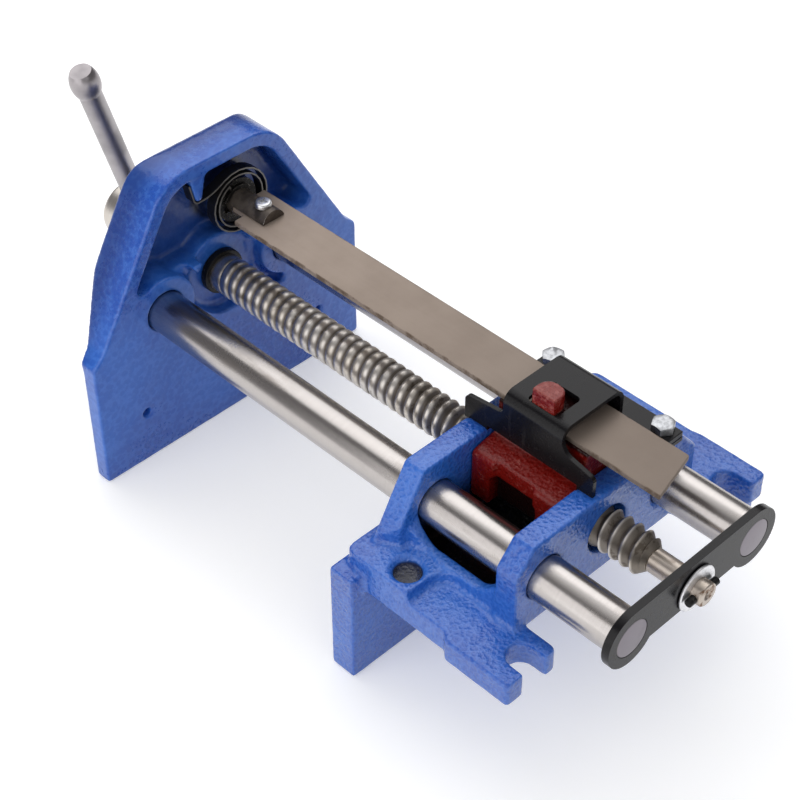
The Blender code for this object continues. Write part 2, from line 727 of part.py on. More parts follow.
def jaw_pocket(jaw_corners):
    """The deep pocket behind the arch and its moats, less the bosses and the tooth that stand in it."""
    inner = inset(jaw_corners, RIM_THICKNESS)
    foot, crown = inner[2], inner[3]
    floor_share = (POCKET_FLOOR_HEIGHT - foot.y) / (crown.y - foot.y)
    floor_x = foot.x + (crown.x - foot.x) * floor_share
    half_pocket = [
        (floor_x, POCKET_FLOOR_HEIGHT, POCKET_CORNER_FILLET),
        (crown.x, crown.y, ARCH_RADIUS - RIM_THICKNESS),
    ]
    pocket = prism("pocket", "XZ", [filleted(mirrored(half_pocket))], -POCKET_DEPTH, OVERRUN)
    join(pocket, jaw_moats())
    deep = -POCKET_DEPTH - OVERRUN
    tooth = arc((TOOTH_TIP_X, TOOTH_TIP_HEIGHT), TOOTH_TIP_RADIUS, pi, 2 * pi)
    tooth.append((TOOTH_TIP_X + TOOTH_ROOT_WIDTH / 2, crown.y + OVERRUN))
    tooth.append((TOOTH_TIP_X - TOOTH_ROOT_WIDTH / 2, crown.y + OVERRUN))
    cut(pocket, prism("tooth", "XZ", [tooth], deep, -TOOTH_FACE_DEPTH))
    cut(pocket, cylinder("screw boss", along("Y", MAIN_AXIS), SCREW_BOSS_RADIUS, deep, OVERRUN * 2))
    boss_face = -SPINDLE_BOSS_FACE_DEPTH
    cut(pocket, cylinder("spindle boss", along("Y", RELEASE_AXIS), SPINDLE_BOSS_RADIUS, deep, boss_face))
    for side_name, sign in RODS.items():
        rod = along("Y", (sign * ROD_X, AXIS_HEIGHT))
        cut(pocket, cylinder(f"{side_name} rod boss", rod, ROD_BOSS_RADIUS, deep, OVERRUN * 2))
    return pocket


def jaw_moats():
    """The shallow cored grooves that run round the inner side of each rod boss."""
    outline = box_outline(
        -MOAT_HALF_WIDTH, MOAT_HALF_WIDTH, MOAT_BOTTOM_HEIGHT, POCKET_FLOOR_HEIGHT + POCKET_CORNER_FILLET
    )
    moats = prism("moats", "XZ", [outline], -MOAT_DEPTH, OVERRUN)
    discs = None
    for side_name, sign in RODS.items():
        rod_axis = (sign * ROD_X, AXIS_HEIGHT)
        radius = ROD_BOSS_RADIUS + ROD_MOAT_WIDTH
        disc = cylinder(f"{side_name} moat", along("Y", rod_axis), radius, -MOAT_DEPTH * 2, OVERRUN * 2)
        discs = join(disc, discs) if discs else disc
    return keep_common(moats, discs)


def make_guide_rods():
    """Two ground rods, seated in the front jaw, with a turned spigot riveted in the end plate."""
    start = -ROD_SEAT_DEPTH + REST_GAP
    shoulder = END_PLATE_FRONT - REST_GAP
    profile = [
        (0, start),
        (ROD_RADIUS - ROD_CHAMFER, start),
        (ROD_RADIUS, start + ROD_CHAMFER),
        (ROD_RADIUS, shoulder - ROD_CHAMFER),
        (ROD_RADIUS - ROD_CHAMFER, shoulder),
        (SPIGOT_RADIUS, shoulder),
        (SPIGOT_RADIUS, END_PLATE_REAR),
        (0, END_PLATE_REAR),
    ]
    for side_name, sign in RODS.items():
        rod = turned(f"guide_rod_{side_name}", along("Y", (sign * ROD_X, AXIS_HEIGHT)), profile)
        finish(rod, "ground_steel")


def make_end_plate():
    """Two round lobes with a straight edge above, a waist below, and holes for the spigots and journal."""
    waist_angle = atan2(
        -END_PLATE_WAIST_DROP, sqrt(END_PLATE_LOBE_RADIUS**2 - END_PLATE_WAIST_DROP**2)
    )
    lobe = arc((ROD_X, AXIS_HEIGHT), END_PLATE_LOBE_RADIUS, -pi - waist_angle, pi / 2)
    outline = lobe + [(-x, z) for x, z in reversed(lobe)]
    holes = [circle((sign * ROD_X, AXIS_HEIGHT), SPIGOT_RADIUS + RUNNING_GAP) for sign in RODS.values()]
    holes.append(circle(MAIN_AXIS, JOURNAL_RADIUS + RUNNING_GAP))
    plate = prism("end_plate", "XZ", [outline, *holes], END_PLATE_FRONT, END_PLATE_REAR)
    finish(plate, "black_sheet")


def make_main_screw():
    """Head, shank, thread and journal in one piece of steel."""
    screw = helix_solid(
        "main_screw", THREAD_ROOT_RADIUS, THREAD_RADIUS, THREAD_FOOT_WIDTH, THREAD_CREST_WIDTH,
        THREAD_START, THREAD_END,
    )
    shoulder_rear = -SCREW_FRONT_BOSS_DEPTH - REST_GAP
    corner = SCREW_HEAD_RADIUS - SCREW_HEAD_ROUNDING
    head = [(0, SCREW_HEAD_FRONT)]
    front_corner = (corner, SCREW_HEAD_FRONT + SCREW_HEAD_ROUNDING)
    rear_corner = (corner, SCREW_HEAD_REAR - SCREW_HEAD_ROUNDING)
    head += arc(front_corner, SCREW_HEAD_ROUNDING, -pi / 2, 0)
    head += arc(rear_corner, SCREW_HEAD_ROUNDING, 0, pi / 2)
    head += [
        (SCREW_SHOULDER_RADIUS, SCREW_HEAD_REAR),
        (SCREW_SHOULDER_RADIUS, shoulder_rear),
        (SHANK_RADIUS, shoulder_rear),
        (SHANK_RADIUS, THREAD_START + SHANK_OVERLAP),
        (0, THREAD_START + SHANK_OVERLAP),
    ]
    join(screw, turned("screw head and shank", along("Y", MAIN_AXIS), head))
    journal = [
        (0, THREAD_END - SHANK_OVERLAP),
        (JOURNAL_RADIUS, THREAD_END - SHANK_OVERLAP),
        (JOURNAL_RADIUS, STUB_END - STUB_CHAMFER),
        (JOURNAL_RADIUS - STUB_CHAMFER, STUB_END),
        (CENTRE_HOLE_RADIUS, STUB_END),
        (0, STUB_END - CENTRE_HOLE_DEPTH),
    ]
    join(screw, turned("journal", along("Y", MAIN_AXIS), journal))
    cut(screw, cylinder(
        "handle hole", HANDLE_PLACE, HANDLE_RADIUS + HANDLE_HOLE_GAP,
        -SCREW_HEAD_RADIUS - OVERRUN, SCREW_HEAD_RADIUS + OVERRUN,
    ))
    cut(screw, cylinder(
        "pin hole", along("X", (PIN_Y, AXIS_HEIGHT)), END_PIN_RADIUS + RUNNING_GAP,
        -JOURNAL_RADIUS - OVERRUN, JOURNAL_RADIUS + OVERRUN, SMALL_ROUND_STEPS,
    ))
    finish(screw, "screw_steel", (0, 0, AXIS_HEIGHT))


def make_screw_trim():
    """The collar behind the front jaw, and the washer and cross pin behind the end plate."""
    start = -SCREW_BOSS_FACE_DEPTH + REST_GAP
    end = start + COLLAR_LENGTH
    bore = SHANK_RADIUS + RUNNING_GAP
    collar = [
        (bore, start),
        (COLLAR_RADIUS, start),
        (COLLAR_RADIUS, end - COLLAR_CHAMFER),
        (COLLAR_RADIUS - COLLAR_CHAMFER, end),
        (bore, end),
    ]
    finish(turned("screw_collar", along("Y", MAIN_AXIS), collar), "black_steel", (0, 0, AXIS_HEIGHT))
    start = END_PLATE_REAR + REST_GAP
    end = start + WASHER_THICKNESS
    bore = JOURNAL_RADIUS + RUNNING_GAP
    washer = [(bore, start), (WASHER_RADIUS, start), (WASHER_RADIUS, end), (bore, end)]
    finish(turned("end_washer", along("Y", MAIN_AXIS), washer), "zinc", (0, 0, AXIS_HEIGHT))
    pin = cylinder(
        "end_pin", along("X", (PIN_Y, AXIS_HEIGHT)), END_PIN_RADIUS,
        -END_PIN_LENGTH / 2, END_PIN_LENGTH / 2, SMALL_ROUND_STEPS,
    )
    finish(pin, "black_steel", (0, 0, AXIS_HEIGHT))


def knob_profile(end):
    """The upset end of the tommy bar, from its neck to its flat end at a distance along the bar."""
    neck = -atan2(sqrt(HANDLE_KNOB_RADIUS**2 - HANDLE_RADIUS**2), HANDLE_RADIUS)
    tip = atan2(sqrt(1 - HANDLE_KNOB_FLAT_SHARE**2), HANDLE_KNOB_FLAT_SHARE)
    unit = HANDLE_KNOB_LENGTH / (sin(tip) - sin(neck))
    middle = end - unit * sin(tip)
    return [(radius, middle + unit * height / HANDLE_KNOB_RADIUS)
            for radius, height in arc((0, 0), HANDLE_KNOB_RADIUS, neck, tip)]


def make_handle():
    """The tommy bar with its upset end, and the cap that is fitted after the bar is through the head."""
    cap_mouth = -HANDLE_LOWER_LENGTH + HANDLE_KNOB_LENGTH
    bar_end = cap_mouth - HANDLE_CAP_BORE_DEPTH
    bar = [(0, bar_end), (HANDLE_RADIUS, bar_end)]
    bar += knob_profile(HANDLE_UPPER_LENGTH)
    bar += [(0, HANDLE_UPPER_LENGTH)]
    origin = (0, HANDLE_Y, AXIS_HEIGHT)
    finish(turned("handle_bar", HANDLE_PLACE, bar), "handle_steel", origin)
    bore = HANDLE_RADIUS + RUNNING_GAP
    cap = [(radius, -height) for radius, height in reversed(knob_profile(HANDLE_LOWER_LENGTH))]
    cap = [(0, -HANDLE_LOWER_LENGTH)] + [point for point in cap if point[0] > bore and point[1] < cap_mouth]
    cap += [(bore + HANDLE_HOLE_GAP, cap_mouth), (bore, cap_mouth)]
    cap += [(bore, bar_end - REST_GAP), (0, bar_end - REST_GAP)]
    finish(turned("handle_cap", HANDLE_PLACE, cap), "handle_steel", origin)


def make_rear_casting():
    """Rear jaw, bench flange with slotted lugs, two cross walls with bores, and the webs between them."""
    casting = prism(
        "rear_casting", "YZ", [box_outline(REAR_FACE, REAR_JAW_BACK, 0, REAR_JAW_HEIGHT)],
        -JAW_WIDTH / 2, JAW_WIDTH / 2,
    )
    flange_front = (WALL_1_START + WALL_1_END) / 2
    flange = [
        (FLANGE_HALF_WIDTH, FLANGE_FRONT, FLANGE_CORNER_FILLET),
        (FLANGE_HALF_WIDTH, LUG_JOG_START),
        (LUG_HALF_WIDTH, LUG_JOG_END),
        (LUG_HALF_WIDTH, LUG_END, LUG_CORNER_FILLET),
        (LUG_INNER, LUG_END, LUG_CORNER_FILLET),
        (LUG_INNER, flange_front),
    ]
    join(casting, prism("flange", "XY", [filleted(mirrored(flange))], FLANGE_UNDERSIDE, FLANGE_TOP))
    web_outer = WEB_INNER + WEB_THICKNESS
    web_middle = WEB_INNER + WEB_THICKNESS / 2
    pad = [
        (FLANGE_HALF_WIDTH, FLANGE_FRONT, FLANGE_CORNER_FILLET),
        (FLANGE_HALF_WIDTH, PAD_END),
        (web_outer, PAD_END, PAD_INNER_FILLET),
        (web_outer, PAD_END + PAD_INNER_FILLET + OVERRUN / 2),
        (web_middle, PAD_END + PAD_INNER_FILLET + OVERRUN / 2),
        (web_middle, flange_front + OVERRUN / 2),
    ]
    pad_foot = (FLANGE_UNDERSIDE + FLANGE_TOP) / 2
    join(casting, prism("pads", "XY", [filleted(mirrored(pad))], pad_foot, PAD_TOP))
    wall_1 = [
        (WALL_1_FOOT_HALF_WIDTH, pad_foot - OVERRUN / 2),
        (WALL_1_FOOT_HALF_WIDTH, PAD_TOP),
        (WALL_TOP_HALF_WIDTH, WALL_TOP, WALL_CORNER_FILLET),
    ]
    join(casting, prism("wall 1", "XZ", [filleted(mirrored(wall_1))], WALL_1_START, WALL_1_END))
    wall_2 = [
        (WALL_2_HALF_WIDTH, WALL_2_UNDERSIDE),
        (WALL_2_HALF_WIDTH, WALL_2_SHOULDER, WALL_CORNER_FILLET),
        (WALL_TOP_HALF_WIDTH, WALL_TOP, WALL_CORNER_FILLET),
    ]
    join(casting, prism("wall 2", "XZ", [filleted(mirrored(wall_2))], WALL_2_START, WALL_2_END))
    for side_name, sign in RODS.items():
        join(casting, casting_web(side_name, sign))
        hollow = cylinder(
            f"{side_name} pad hollow", along("Z", (sign * SCREW_HOLE_X, SCREW_HOLE_Y)), PAD_HOLLOW_RADIUS,
            PAD_TOP + REST_GAP, WALL_TOP,
        )
        trim = [
            (sign * WALL_1_TRIM_INNER, WALL_1_END),
            (sign * WALL_1_TRIM_OUTER, WALL_1_START),
            (sign * (WALL_1_FOOT_HALF_WIDTH + OVERRUN), WALL_1_START),
            (sign * (WALL_1_FOOT_HALF_WIDTH + OVERRUN), WALL_1_END + OVERRUN),
            (sign * WALL_1_TRIM_INNER, WALL_1_END + OVERRUN),
        ]
        join(hollow, prism(f"{side_name} wall trim", "XY", [trim], PAD_TOP + REST_GAP, WALL_TOP - REST_GAP))
        cut(casting, hollow)
    cut_casting_holes(casting)
    finish(casting, "blue_paint")


def casting_web(side_name, sign):
    """The low side wall outside a guide rod that ties the cross walls, swept up into them at its ends."""
    foot = (FLANGE_UNDERSIDE + FLANGE_TOP) / 2
    start = WALL_1_END - OVERRUN / 2
    end = WALL_2_START + OVERRUN / 2
    web = [
        (start, foot),
        (end, foot),
        (end, WEB_TOP + WEB_END_RISE),
        (WALL_2_START, WEB_TOP + WEB_END_RISE),
        (WALL_2_START - WEB_END_RISE, WEB_TOP, WEB_END_FILLET),
        (WALL_1_END + WEB_END_RISE, WEB_TOP, WEB_END_FILLET),
        (WALL_1_END, WEB_TOP + WEB_END_RISE),
        (start, WEB_TOP + WEB_END_RISE),
    ]
    edges = sorted((sign * WEB_INNER, sign * (WEB_INNER + WEB_THICKNESS)))
    return prism(f"{side_name} web", "YZ", [filleted(web)], *edges)


def cut_casting_holes(casting):
    """Rod and screw bores, lug slots, countersunk holes, bolt holes and notches for the bracket's ears."""
    start = WALL_1_START - OVERRUN
    end = WALL_2_END + OVERRUN
    cut(casting, cylinder("screw passage", along("Y", MAIN_AXIS), SCREW_PASSAGE_RADIUS, start, end))
    slot_radius = SLOT_WIDTH / 2
    for side_name, sign in RODS.items():
        bore = along("Y", (sign * ROD_X, AXIS_HEIGHT))
        cut(casting, cylinder(f"{side_name} rod bore", bore, ROD_RADIUS + RUNNING_GAP, start, end))
        slot_x = sign * SLOT_CENTRE_X
        slot = arc((slot_x, SLOT_CENTRE_Y), slot_radius, -pi, 0)
        slot += [(slot_x + slot_radius, LUG_END + OVERRUN), (slot_x - slot_radius, LUG_END + OVERRUN)]
        cut(casting, prism(
            f"{side_name} lug slot", "XY", [slot], FLANGE_UNDERSIDE - OVERRUN, FLANGE_TOP + OVERRUN
        ))
        hole = along("Z", (sign * SCREW_HOLE_X, SCREW_HOLE_Y))
        cut(casting, cylinder(
            f"{side_name} screw hole", hole, SCREW_HOLE_RADIUS, FLANGE_UNDERSIDE - OVERRUN, PAD_TOP + OVERRUN
        ))
        sink_depth = COUNTERSINK_RADIUS - SCREW_HOLE_RADIUS
        cut(casting, cylinder(
            f"{side_name} countersink", hole, SCREW_HOLE_RADIUS, PAD_TOP - sink_depth, PAD_TOP + OVERRUN,
            high_radius=COUNTERSINK_RADIUS + OVERRUN,
        ))
    notch_low = BRACKET_LEFT_X - SHEET_THICKNESS - REST_GAP
    notch_high = BRACKET_LEFT_X + REST_GAP
    notch = box_outline(notch_low, notch_high, WALL_TOP - EAR_NOTCH_DEPTH, WALL_TOP + OVERRUN)
    cut(casting, prism("ear notches", "XZ", [notch], start, REAR_EAR_END + EAR_BASE_GAP))
    for end_name, bolt_y in BOLTS_Y.items():
        cut(casting, cylinder(
            f"{end_name} bolt hole", along("Z", (BOLT_X, bolt_y)), BOLT_HOLE_RADIUS,
            BOLT_END - REST_GAP, WALL_TOP + OVERRUN, SMALL_ROUND_STEPS,
        ))


def make_half_nut():
    """Red casting that hangs on the bar, threaded where it lies against one side of the screw."""
    body = [
        (RELEASE_X - BAR_WIDTH / 2 - REST_GAP, BAR_UNDERSIDE - REST_GAP),
        (NUT_SADDLE_LEFT, BAR_UNDERSIDE - REST_GAP),
        (NUT_SADDLE_LEFT, NUT_SADDLE_HEIGHT),
        (NUT_NECK_X, NUT_NECK_HEIGHT),
        (NUT_LIP_X, NUT_LIP_HEIGHT),
        (NUT_LIP_X, AXIS_HEIGHT),
        (NUT_FOOT_INNER_X, NUT_FOOT_HEIGHT),
        (NUT_RIDGE_X, NUT_FOOT_HEIGHT),
        (NUT_RIDGE_X, NUT_RIDGE_HEIGHT, NUT_RIDGE_FILLET),
        (NUT_FLANK_TOP_X, NUT_FLANK_HEIGHT),
        (RELEASE_X + BAR_WIDTH / 2 + REST_GAP, BAR_UNDERSIDE - REST_GAP),
    ]
    nut = prism("half_nut", "XZ", [filleted(body)], NUT_START, NUT_END)
    yoke_left = RELEASE_X - BAR_WIDTH / 2 - REST_GAP - YOKE_WALL
    yoke_right = RELEASE_X + BAR_WIDTH / 2 + REST_GAP + YOKE_WALL
    yoke = [
        (yoke_left, NUT_SADDLE_HEIGHT + OVERRUN / 2),
        (NUT_FLANK_TOP_X, NUT_SADDLE_HEIGHT - OVERRUN / 2),
        (yoke_right, RELEASE_HEIGHT),
        (yoke_right, RELEASE_HEIGHT + YOKE_TOP_RISE),
        (yoke_left, RELEASE_HEIGHT + YOKE_TOP_RISE),
    ]
    join(nut, prism("yoke", "XZ", [yoke], YOKE_START, YOKE_END))
    peg_middle = (PEG_START + PEG_END) / 2
    rounding = (PEG_END - PEG_START) / 2 * PEG_ROUND_SHARE
    peg = [
        (PEG_FLAT_X, PEG_START),
        (PEG_FLAT_X, PEG_END),
        (PEG_FLAT_X - PEG_WIDTH, PEG_END, rounding),
        (PEG_FLAT_X - PEG_WIDTH, PEG_START, rounding),
    ]
    join(nut, prism("peg", "XY", [filleted(peg)], RELEASE_HEIGHT + YOKE_TOP_RISE / 2, PEG_TOP))
    tunnel = box_outline(
        RELEASE_X - BAR_WIDTH / 2 - REST_GAP, RELEASE_X + BAR_WIDTH / 2 + REST_GAP,
        BAR_UNDERSIDE - REST_GAP, BAR_TOP + REST_GAP,
    )
    cut(nut, prism("bar tunnel", "XZ", [tunnel], NUT_START - OVERRUN, NUT_END + OVERRUN))
    recess = box_outline(
        NUT_RECESS_START, NUT_RECESS_END, NUT_FOOT_HEIGHT - NUT_RECESS_FILLET - OVERRUN, NUT_RECESS_TOP,
        NUT_RECESS_FILLET,
    )
    recess_edges = (NUT_RIDGE_X - NUT_RECESS_DEPTH, NUT_RIDGE_X + OVERRUN)
    cut(nut, prism("nut recess", "YZ", [recess], *recess_edges))
    relief = [
        (NUT_RIDGE_X - NUT_RELIEF_DEPTH, NUT_RELIEF_START + NUT_RELIEF_DEPTH / 2),
        (NUT_RIDGE_X - NUT_RELIEF_DEPTH, NUT_RELIEF_END - NUT_RELIEF_DEPTH / 2),
        (NUT_RIDGE_X, NUT_RELIEF_END),
        (NUT_RIDGE_X + OVERRUN, NUT_RELIEF_END),
        (NUT_RIDGE_X + OVERRUN, NUT_RELIEF_START),
        (NUT_RIDGE_X, NUT_RELIEF_START),
    ]
    cut(nut, prism("ridge relief", "XY", [relief], NUT_FOOT_HEIGHT - OVERRUN, NUT_RIDGE_HEIGHT + OVERRUN))
    cut(nut, helix_solid(
        "nut thread", THREAD_ROOT_RADIUS + THREAD_RADIAL_GAP, THREAD_RADIUS + THREAD_RADIAL_GAP,
        THREAD_FOOT_WIDTH + THREAD_FLANK_GAP * 2, THREAD_CREST_WIDTH + THREAD_FLANK_GAP * 2,
        NUT_START - OVERRUN, NUT_END + OVERRUN,
    ))
    finish(nut, "red_casting", (RELEASE_X, peg_middle, RELEASE_HEIGHT))


def make_saddle_bracket():
    """Sheet folded over the bar: a leg with two ears on one side, a flange for the strip on the other."""
    half_sheet = SHEET_THICKNESS / 2
    section = [
        (BRACKET_LEFT_X - half_sheet, EAR_BASE),
        (BRACKET_LEFT_X - half_sheet, BRACKET_TOP - half_sheet, BRACKET_BEND_RADIUS - half_sheet),
        (BRACKET_RIGHT_X + half_sheet, BRACKET_TOP - half_sheet, BRACKET_BEND_RADIUS - half_sheet),
        (BRACKET_RIGHT_X + half_sheet, FLANGE_SHEET_TOP - half_sheet, BRACKET_FLANGE_BEND_RADIUS),
        (STRIP_INNER_X - STRIP_WIDTH, FLANGE_SHEET_TOP - half_sheet),
    ]
    sheet = strip_outline(bent(section), SHEET_THICKNESS)
    bracket = prism("saddle_bracket", "XZ", [sheet], FRONT_EAR_START, STRIP_END)
    blank = box_outline(
        FRONT_EAR_START - OVERRUN, STRIP_END + OVERRUN, EAR_BASE - OVERRUN, BRACKET_TOP + OVERRUN
    )
    over = BRACKET_TOP + OVERRUN / 2
    leg = [
        (FRONT_EAR_START, EAR_BASE),
        (WALL_1_END, EAR_BASE),
        (WALL_1_END, LEG_EDGE_HEIGHT),
        (WALL_2_START, LEG_EDGE_HEIGHT),
        (WALL_2_START, EAR_BASE),
        (REAR_EAR_END, EAR_BASE),
        (REAR_EAR_END, REAR_EAR_TOP, EAR_FILLET),
        (ROOF_END, EAR_ROOT_TOP, ROOF_FILLET),
        (ROOF_END, over),
        (ROOF_START, over),
        (ROOF_START, EAR_ROOT_TOP, EAR_FILLET),
        (FRONT_EAR_START, FRONT_EAR_TOP, EAR_FILLET),
    ]
    flange_top = FLANGE_SHEET_TOP + REST_GAP
    flange = [
        (STRIP_START, EAR_BASE),
        (STRIP_END, EAR_BASE),
        (STRIP_END, flange_top),
        (ROOF_END + ROOF_FILLET / 2, flange_top, EAR_FILLET),
        (ROOF_END, flange_top + ROOF_FILLET),
        (ROOF_END, over),
        (ROOF_START, over),
        (ROOF_START, flange_top + ROOF_FILLET),
        (ROOF_START - ROOF_FILLET / 2, flange_top, EAR_FILLET),
        (STRIP_START, flange_top),
    ]
    divide = BRACKET_RIGHT_X + BRACKET_BEND_RADIUS / 2
    far_left = BRACKET_LEFT_X + OVERRUN
    far_right = STRIP_INNER_X - STRIP_WIDTH - OVERRUN
    cut(bracket, prism("leg trim", "YZ", [blank, filleted(leg)], divide, far_left))
    cut(bracket, prism("flange trim", "YZ", [blank, filleted(flange)], far_right, divide))
    slot = box_outline(
        ROOF_SLOT_LEFT - ROOF_SLOT_WIDTH, ROOF_SLOT_LEFT, ROOF_SLOT_START, ROOF_SLOT_END, ROOF_SLOT_FILLET
    )
    cut(bracket, prism("roof slot", "XY", [slot], BRACKET_TOP - SHEET_THICKNESS - OVERRUN / 2, over))
    for end_name, bolt_y in BOLTS_Y.items():
        cut(bracket, cylinder(
            f"{end_name} flange hole", along("Z", (BOLT_X, bolt_y)), BOLT_HOLE_RADIUS,
            WALL_TOP - OVERRUN, STRIP_TOP, SMALL_ROUND_STEPS,
        ))
    finish(bracket, "black_sheet")


def make_keeper_strip():
    """Flat strip that clamps the bracket's flange on the two cross walls."""
    outline = box_outline(STRIP_INNER_X - STRIP_WIDTH, STRIP_INNER_X, STRIP_START, STRIP_END)
    holes = [circle((BOLT_X, y), BOLT_HOLE_RADIUS, SMALL_ROUND_STEPS) for y in BOLTS_Y.values()]
    strip = prism("keeper_strip", "XY", [outline, *holes], STRIP_UNDERSIDE, STRIP_TOP)
    finish(strip, "black_sheet")


def make_keeper_bolts():
    """Two hexagon head bolts through the strip and the flange into the cross walls."""
    for end_name, bolt_y in BOLTS_Y.items():
        place = along("Z", (BOLT_X, bolt_y))
        underside = STRIP_TOP + REST_GAP
        top = underside + BOLT_HEAD_HEIGHT
        corner_radius = BOLT_HEAD_WIDTH / 2 / cos(pi / 6)
        bolt = cylinder(f"keeper_bolt_{end_name}", place, corner_radius, underside, top, 6)
        crown = [
            (0, underside - OVERRUN),
            (corner_radius + OVERRUN, underside - OVERRUN),
            (corner_radius + OVERRUN, top - BOLT_HEAD_CHAMFER),
            (corner_radius, top - BOLT_HEAD_CHAMFER),
            (BOLT_HEAD_WIDTH / 2, top),
            (0, top),
        ]
        keep_common(bolt, turned(f"{end_name} bolt crown", place, crown))
        join(bolt, cylinder(
            f"{end_name} bolt shank", place, BOLT_SHANK_RADIUS, BOLT_END,
            underside + BOLT_HEAD_HEIGHT / 2, SMALL_ROUND_STEPS,
        ))
        finish(bolt, "zinc")


def make_release_bar():
    """Flat bar, notched at one corner beside the tongue, with the tongue screw's hole."""
    near = RELEASE_X + BAR_WIDTH / 2
    far = RELEASE_X - BAR_WIDTH / 2
    notch_x = RELEASE_X + SPINDLE_RADIUS
    outline = [
        (near, BAR_START + BAR_NOTCH_LENGTH, BAR_CORNER_FILLET),
        (near, BAR_END, BAR_CORNER_FILLET),
        (far, BAR_END, BAR_CORNER_FILLET),
        (far, BAR_START, BAR_CORNER_FILLET),
        (notch_x, BAR_START, BAR_CORNER_FILLET),
        (notch_x, BAR_START + BAR_NOTCH_LENGTH),
    ]
    hole = circle((RELEASE_X, TONGUE_SCREW_Y), TONGUE_SCREW_RADIUS + RUNNING_GAP, SMALL_ROUND_STEPS)
    bar = prism("release_bar", "XY", [filleted(outline), hole], BAR_UNDERSIDE, BAR_TOP)
    finish(bar, "bar_steel", (RELEASE_X, 0, RELEASE_HEIGHT))


def make_release_spindle():
    """Round spindle through the jaw, cut to a half-round tongue where it lies on the bar."""
    place = along("Y", RELEASE_AXIS)
    spindle = cylinder("release_spindle", place, SPINDLE_RADIUS, SPINDLE_FRONT, TONGUE_END)
    reach = SPINDLE_RADIUS + OVERRUN
    bed = box_outline(BAR_START - REST_GAP, TONGUE_END + OVERRUN, RELEASE_HEIGHT - reach, BAR_TOP + REST_GAP)
    cut(spindle, prism("tongue bed", "YZ", [bed], RELEASE_X - reach, RELEASE_X + reach))
    place = along("Z", (RELEASE_X, TONGUE_SCREW_Y))
    cut(spindle, cylinder(
        "tongue seat", place, TONGUE_SEAT_RADIUS, TONGUE_SEAT_HEIGHT,
        RELEASE_HEIGHT + SPINDLE_RADIUS + OVERRUN, SMALL_ROUND_STEPS,
    ))
    cut(spindle, cylinder(
        "tongue hole", place, TONGUE_SCREW_RADIUS + RUNNING_GAP, RELEASE_HEIGHT,
        RELEASE_HEIGHT + SPINDLE_RADIUS + OVERRUN, SMALL_ROUND_STEPS,
    ))
    cut(spindle, lever_pin_shape("spindle pin hole", RUNNING_GAP, OVERRUN))
    finish(spindle, "black_steel", (RELEASE_X, 0, RELEASE_HEIGHT))


def lever_pin_shape(name, gap, overrun):
    """The pin through the lever's boss and the spindle, or with a gap the hole for it."""
    half_length = LEVER_BOSS_RADIUS + overrun
    return cylinder(
        name, along("Z", (RELEASE_X, LEVER_MIDDLE_Y)), LEVER_PIN_RADIUS + gap,
        RELEASE_HEIGHT - half_length, RELEASE_HEIGHT + half_length, SMALL_ROUND_STEPS,
    )


def make_spring_hub():
    """Hub that turns the spring's inner end, notched for it, with two dogs on its face."""
    bore = SPINDLE_RADIUS + RUNNING_GAP
    step = HUB_FRONT + HUB_LENGTH
    face = step + HUB_STEP_LENGTH
    profile = [
        (bore, HUB_FRONT),
        (HUB_RADIUS, HUB_FRONT),
        (HUB_RADIUS, step),
        (HUB_STEP_RADIUS, step),
        (HUB_STEP_RADIUS, face),
        (bore, face),
    ]
    hub = turned("spring_hub", along("Y", RELEASE_AXIS), profile)
    dog_gap = box_outline(
        RELEASE_X - HUB_RADIUS - OVERRUN, RELEASE_X + HUB_RADIUS + OVERRUN,
        RELEASE_HEIGHT - HUB_DOG_WIDTH / 2, RELEASE_HEIGHT + HUB_DOG_WIDTH / 2,
    )
    cut(hub, prism("dog gap", "XZ", [dog_gap], step, face + OVERRUN))
    outward = unit(SPRING_LEAVE_ANGLE - RELEASE_ANGLE / 2)
    across = Vector((-outward.y, outward.x)) * HUB_NOTCH_WIDTH / 2
    centre = Vector(RELEASE_AXIS)
    low = centre + outward * (HUB_RADIUS - HUB_NOTCH_DEPTH)
    high = centre + outward * (HUB_RADIUS + OVERRUN)
    notch = [tuple(low - across), tuple(high - across), tuple(high + across), tuple(low + across)]
    cut(hub, prism("spring notch", "XZ", [notch], HUB_FRONT - OVERRUN, face + OVERRUN))
    finish(hub, "black_steel", (RELEASE_X, 0, RELEASE_HEIGHT))


def spring_path():
    """Middle line of the spring: tang in the hub, two growing turns, a swing to the tooth, and a hook."""
    centre = Vector(RELEASE_AXIS)
    steps = SPRING_TURNS * SPRING_POINTS_PER_TURN
    path = [centre + (SPRING_INNER_RADIUS - SPRING_TANG_LENGTH) * unit(SPRING_LEAVE_ANGLE)]
    for step in range(steps + 1):
        share = step / steps
        radius = SPRING_INNER_RADIUS + (SPRING_OUTER_RADIUS - SPRING_INNER_RADIUS) * share
        path.append(centre + radius * unit(SPRING_LEAVE_ANGLE + 2 * pi * SPRING_TURNS * (1 - share)))
    tip = Vector((TOOTH_TIP_X, TOOTH_TIP_HEIGHT))
    hook_radius = TOOTH_TIP_RADIUS + REST_GAP + SPRING_THICKNESS / 2
    side_angle = -atan2(TOOTH_ROOT_WIDTH / 2 - TOOTH_TIP_RADIUS, TOOTH_SIDE_HEIGHT)
    leave, arrive = path[-1], tip + hook_radius * unit(-pi / 2)
    handle = (arrive - leave).length * SPRING_REACH_SHARE
    first = leave + handle * unit(SPRING_LEAVE_ANGLE - pi / 2)
    second = arrive - handle * unit(0)
    for step in range(1, SPRING_BEND_POINTS):
        share = step / SPRING_BEND_POINTS
        rest = 1 - share
        path.append(
            leave * rest**3 + first * 3 * rest**2 * share + second * 3 * rest * share**2 + arrive * share**3
        )
    path += [Vector(point) for point in arc(tip, hook_radius, -pi / 2, side_angle)]
    path.append(path[-1] + SPRING_HOOK_LENGTH * unit(side_angle + pi / 2))
    return path


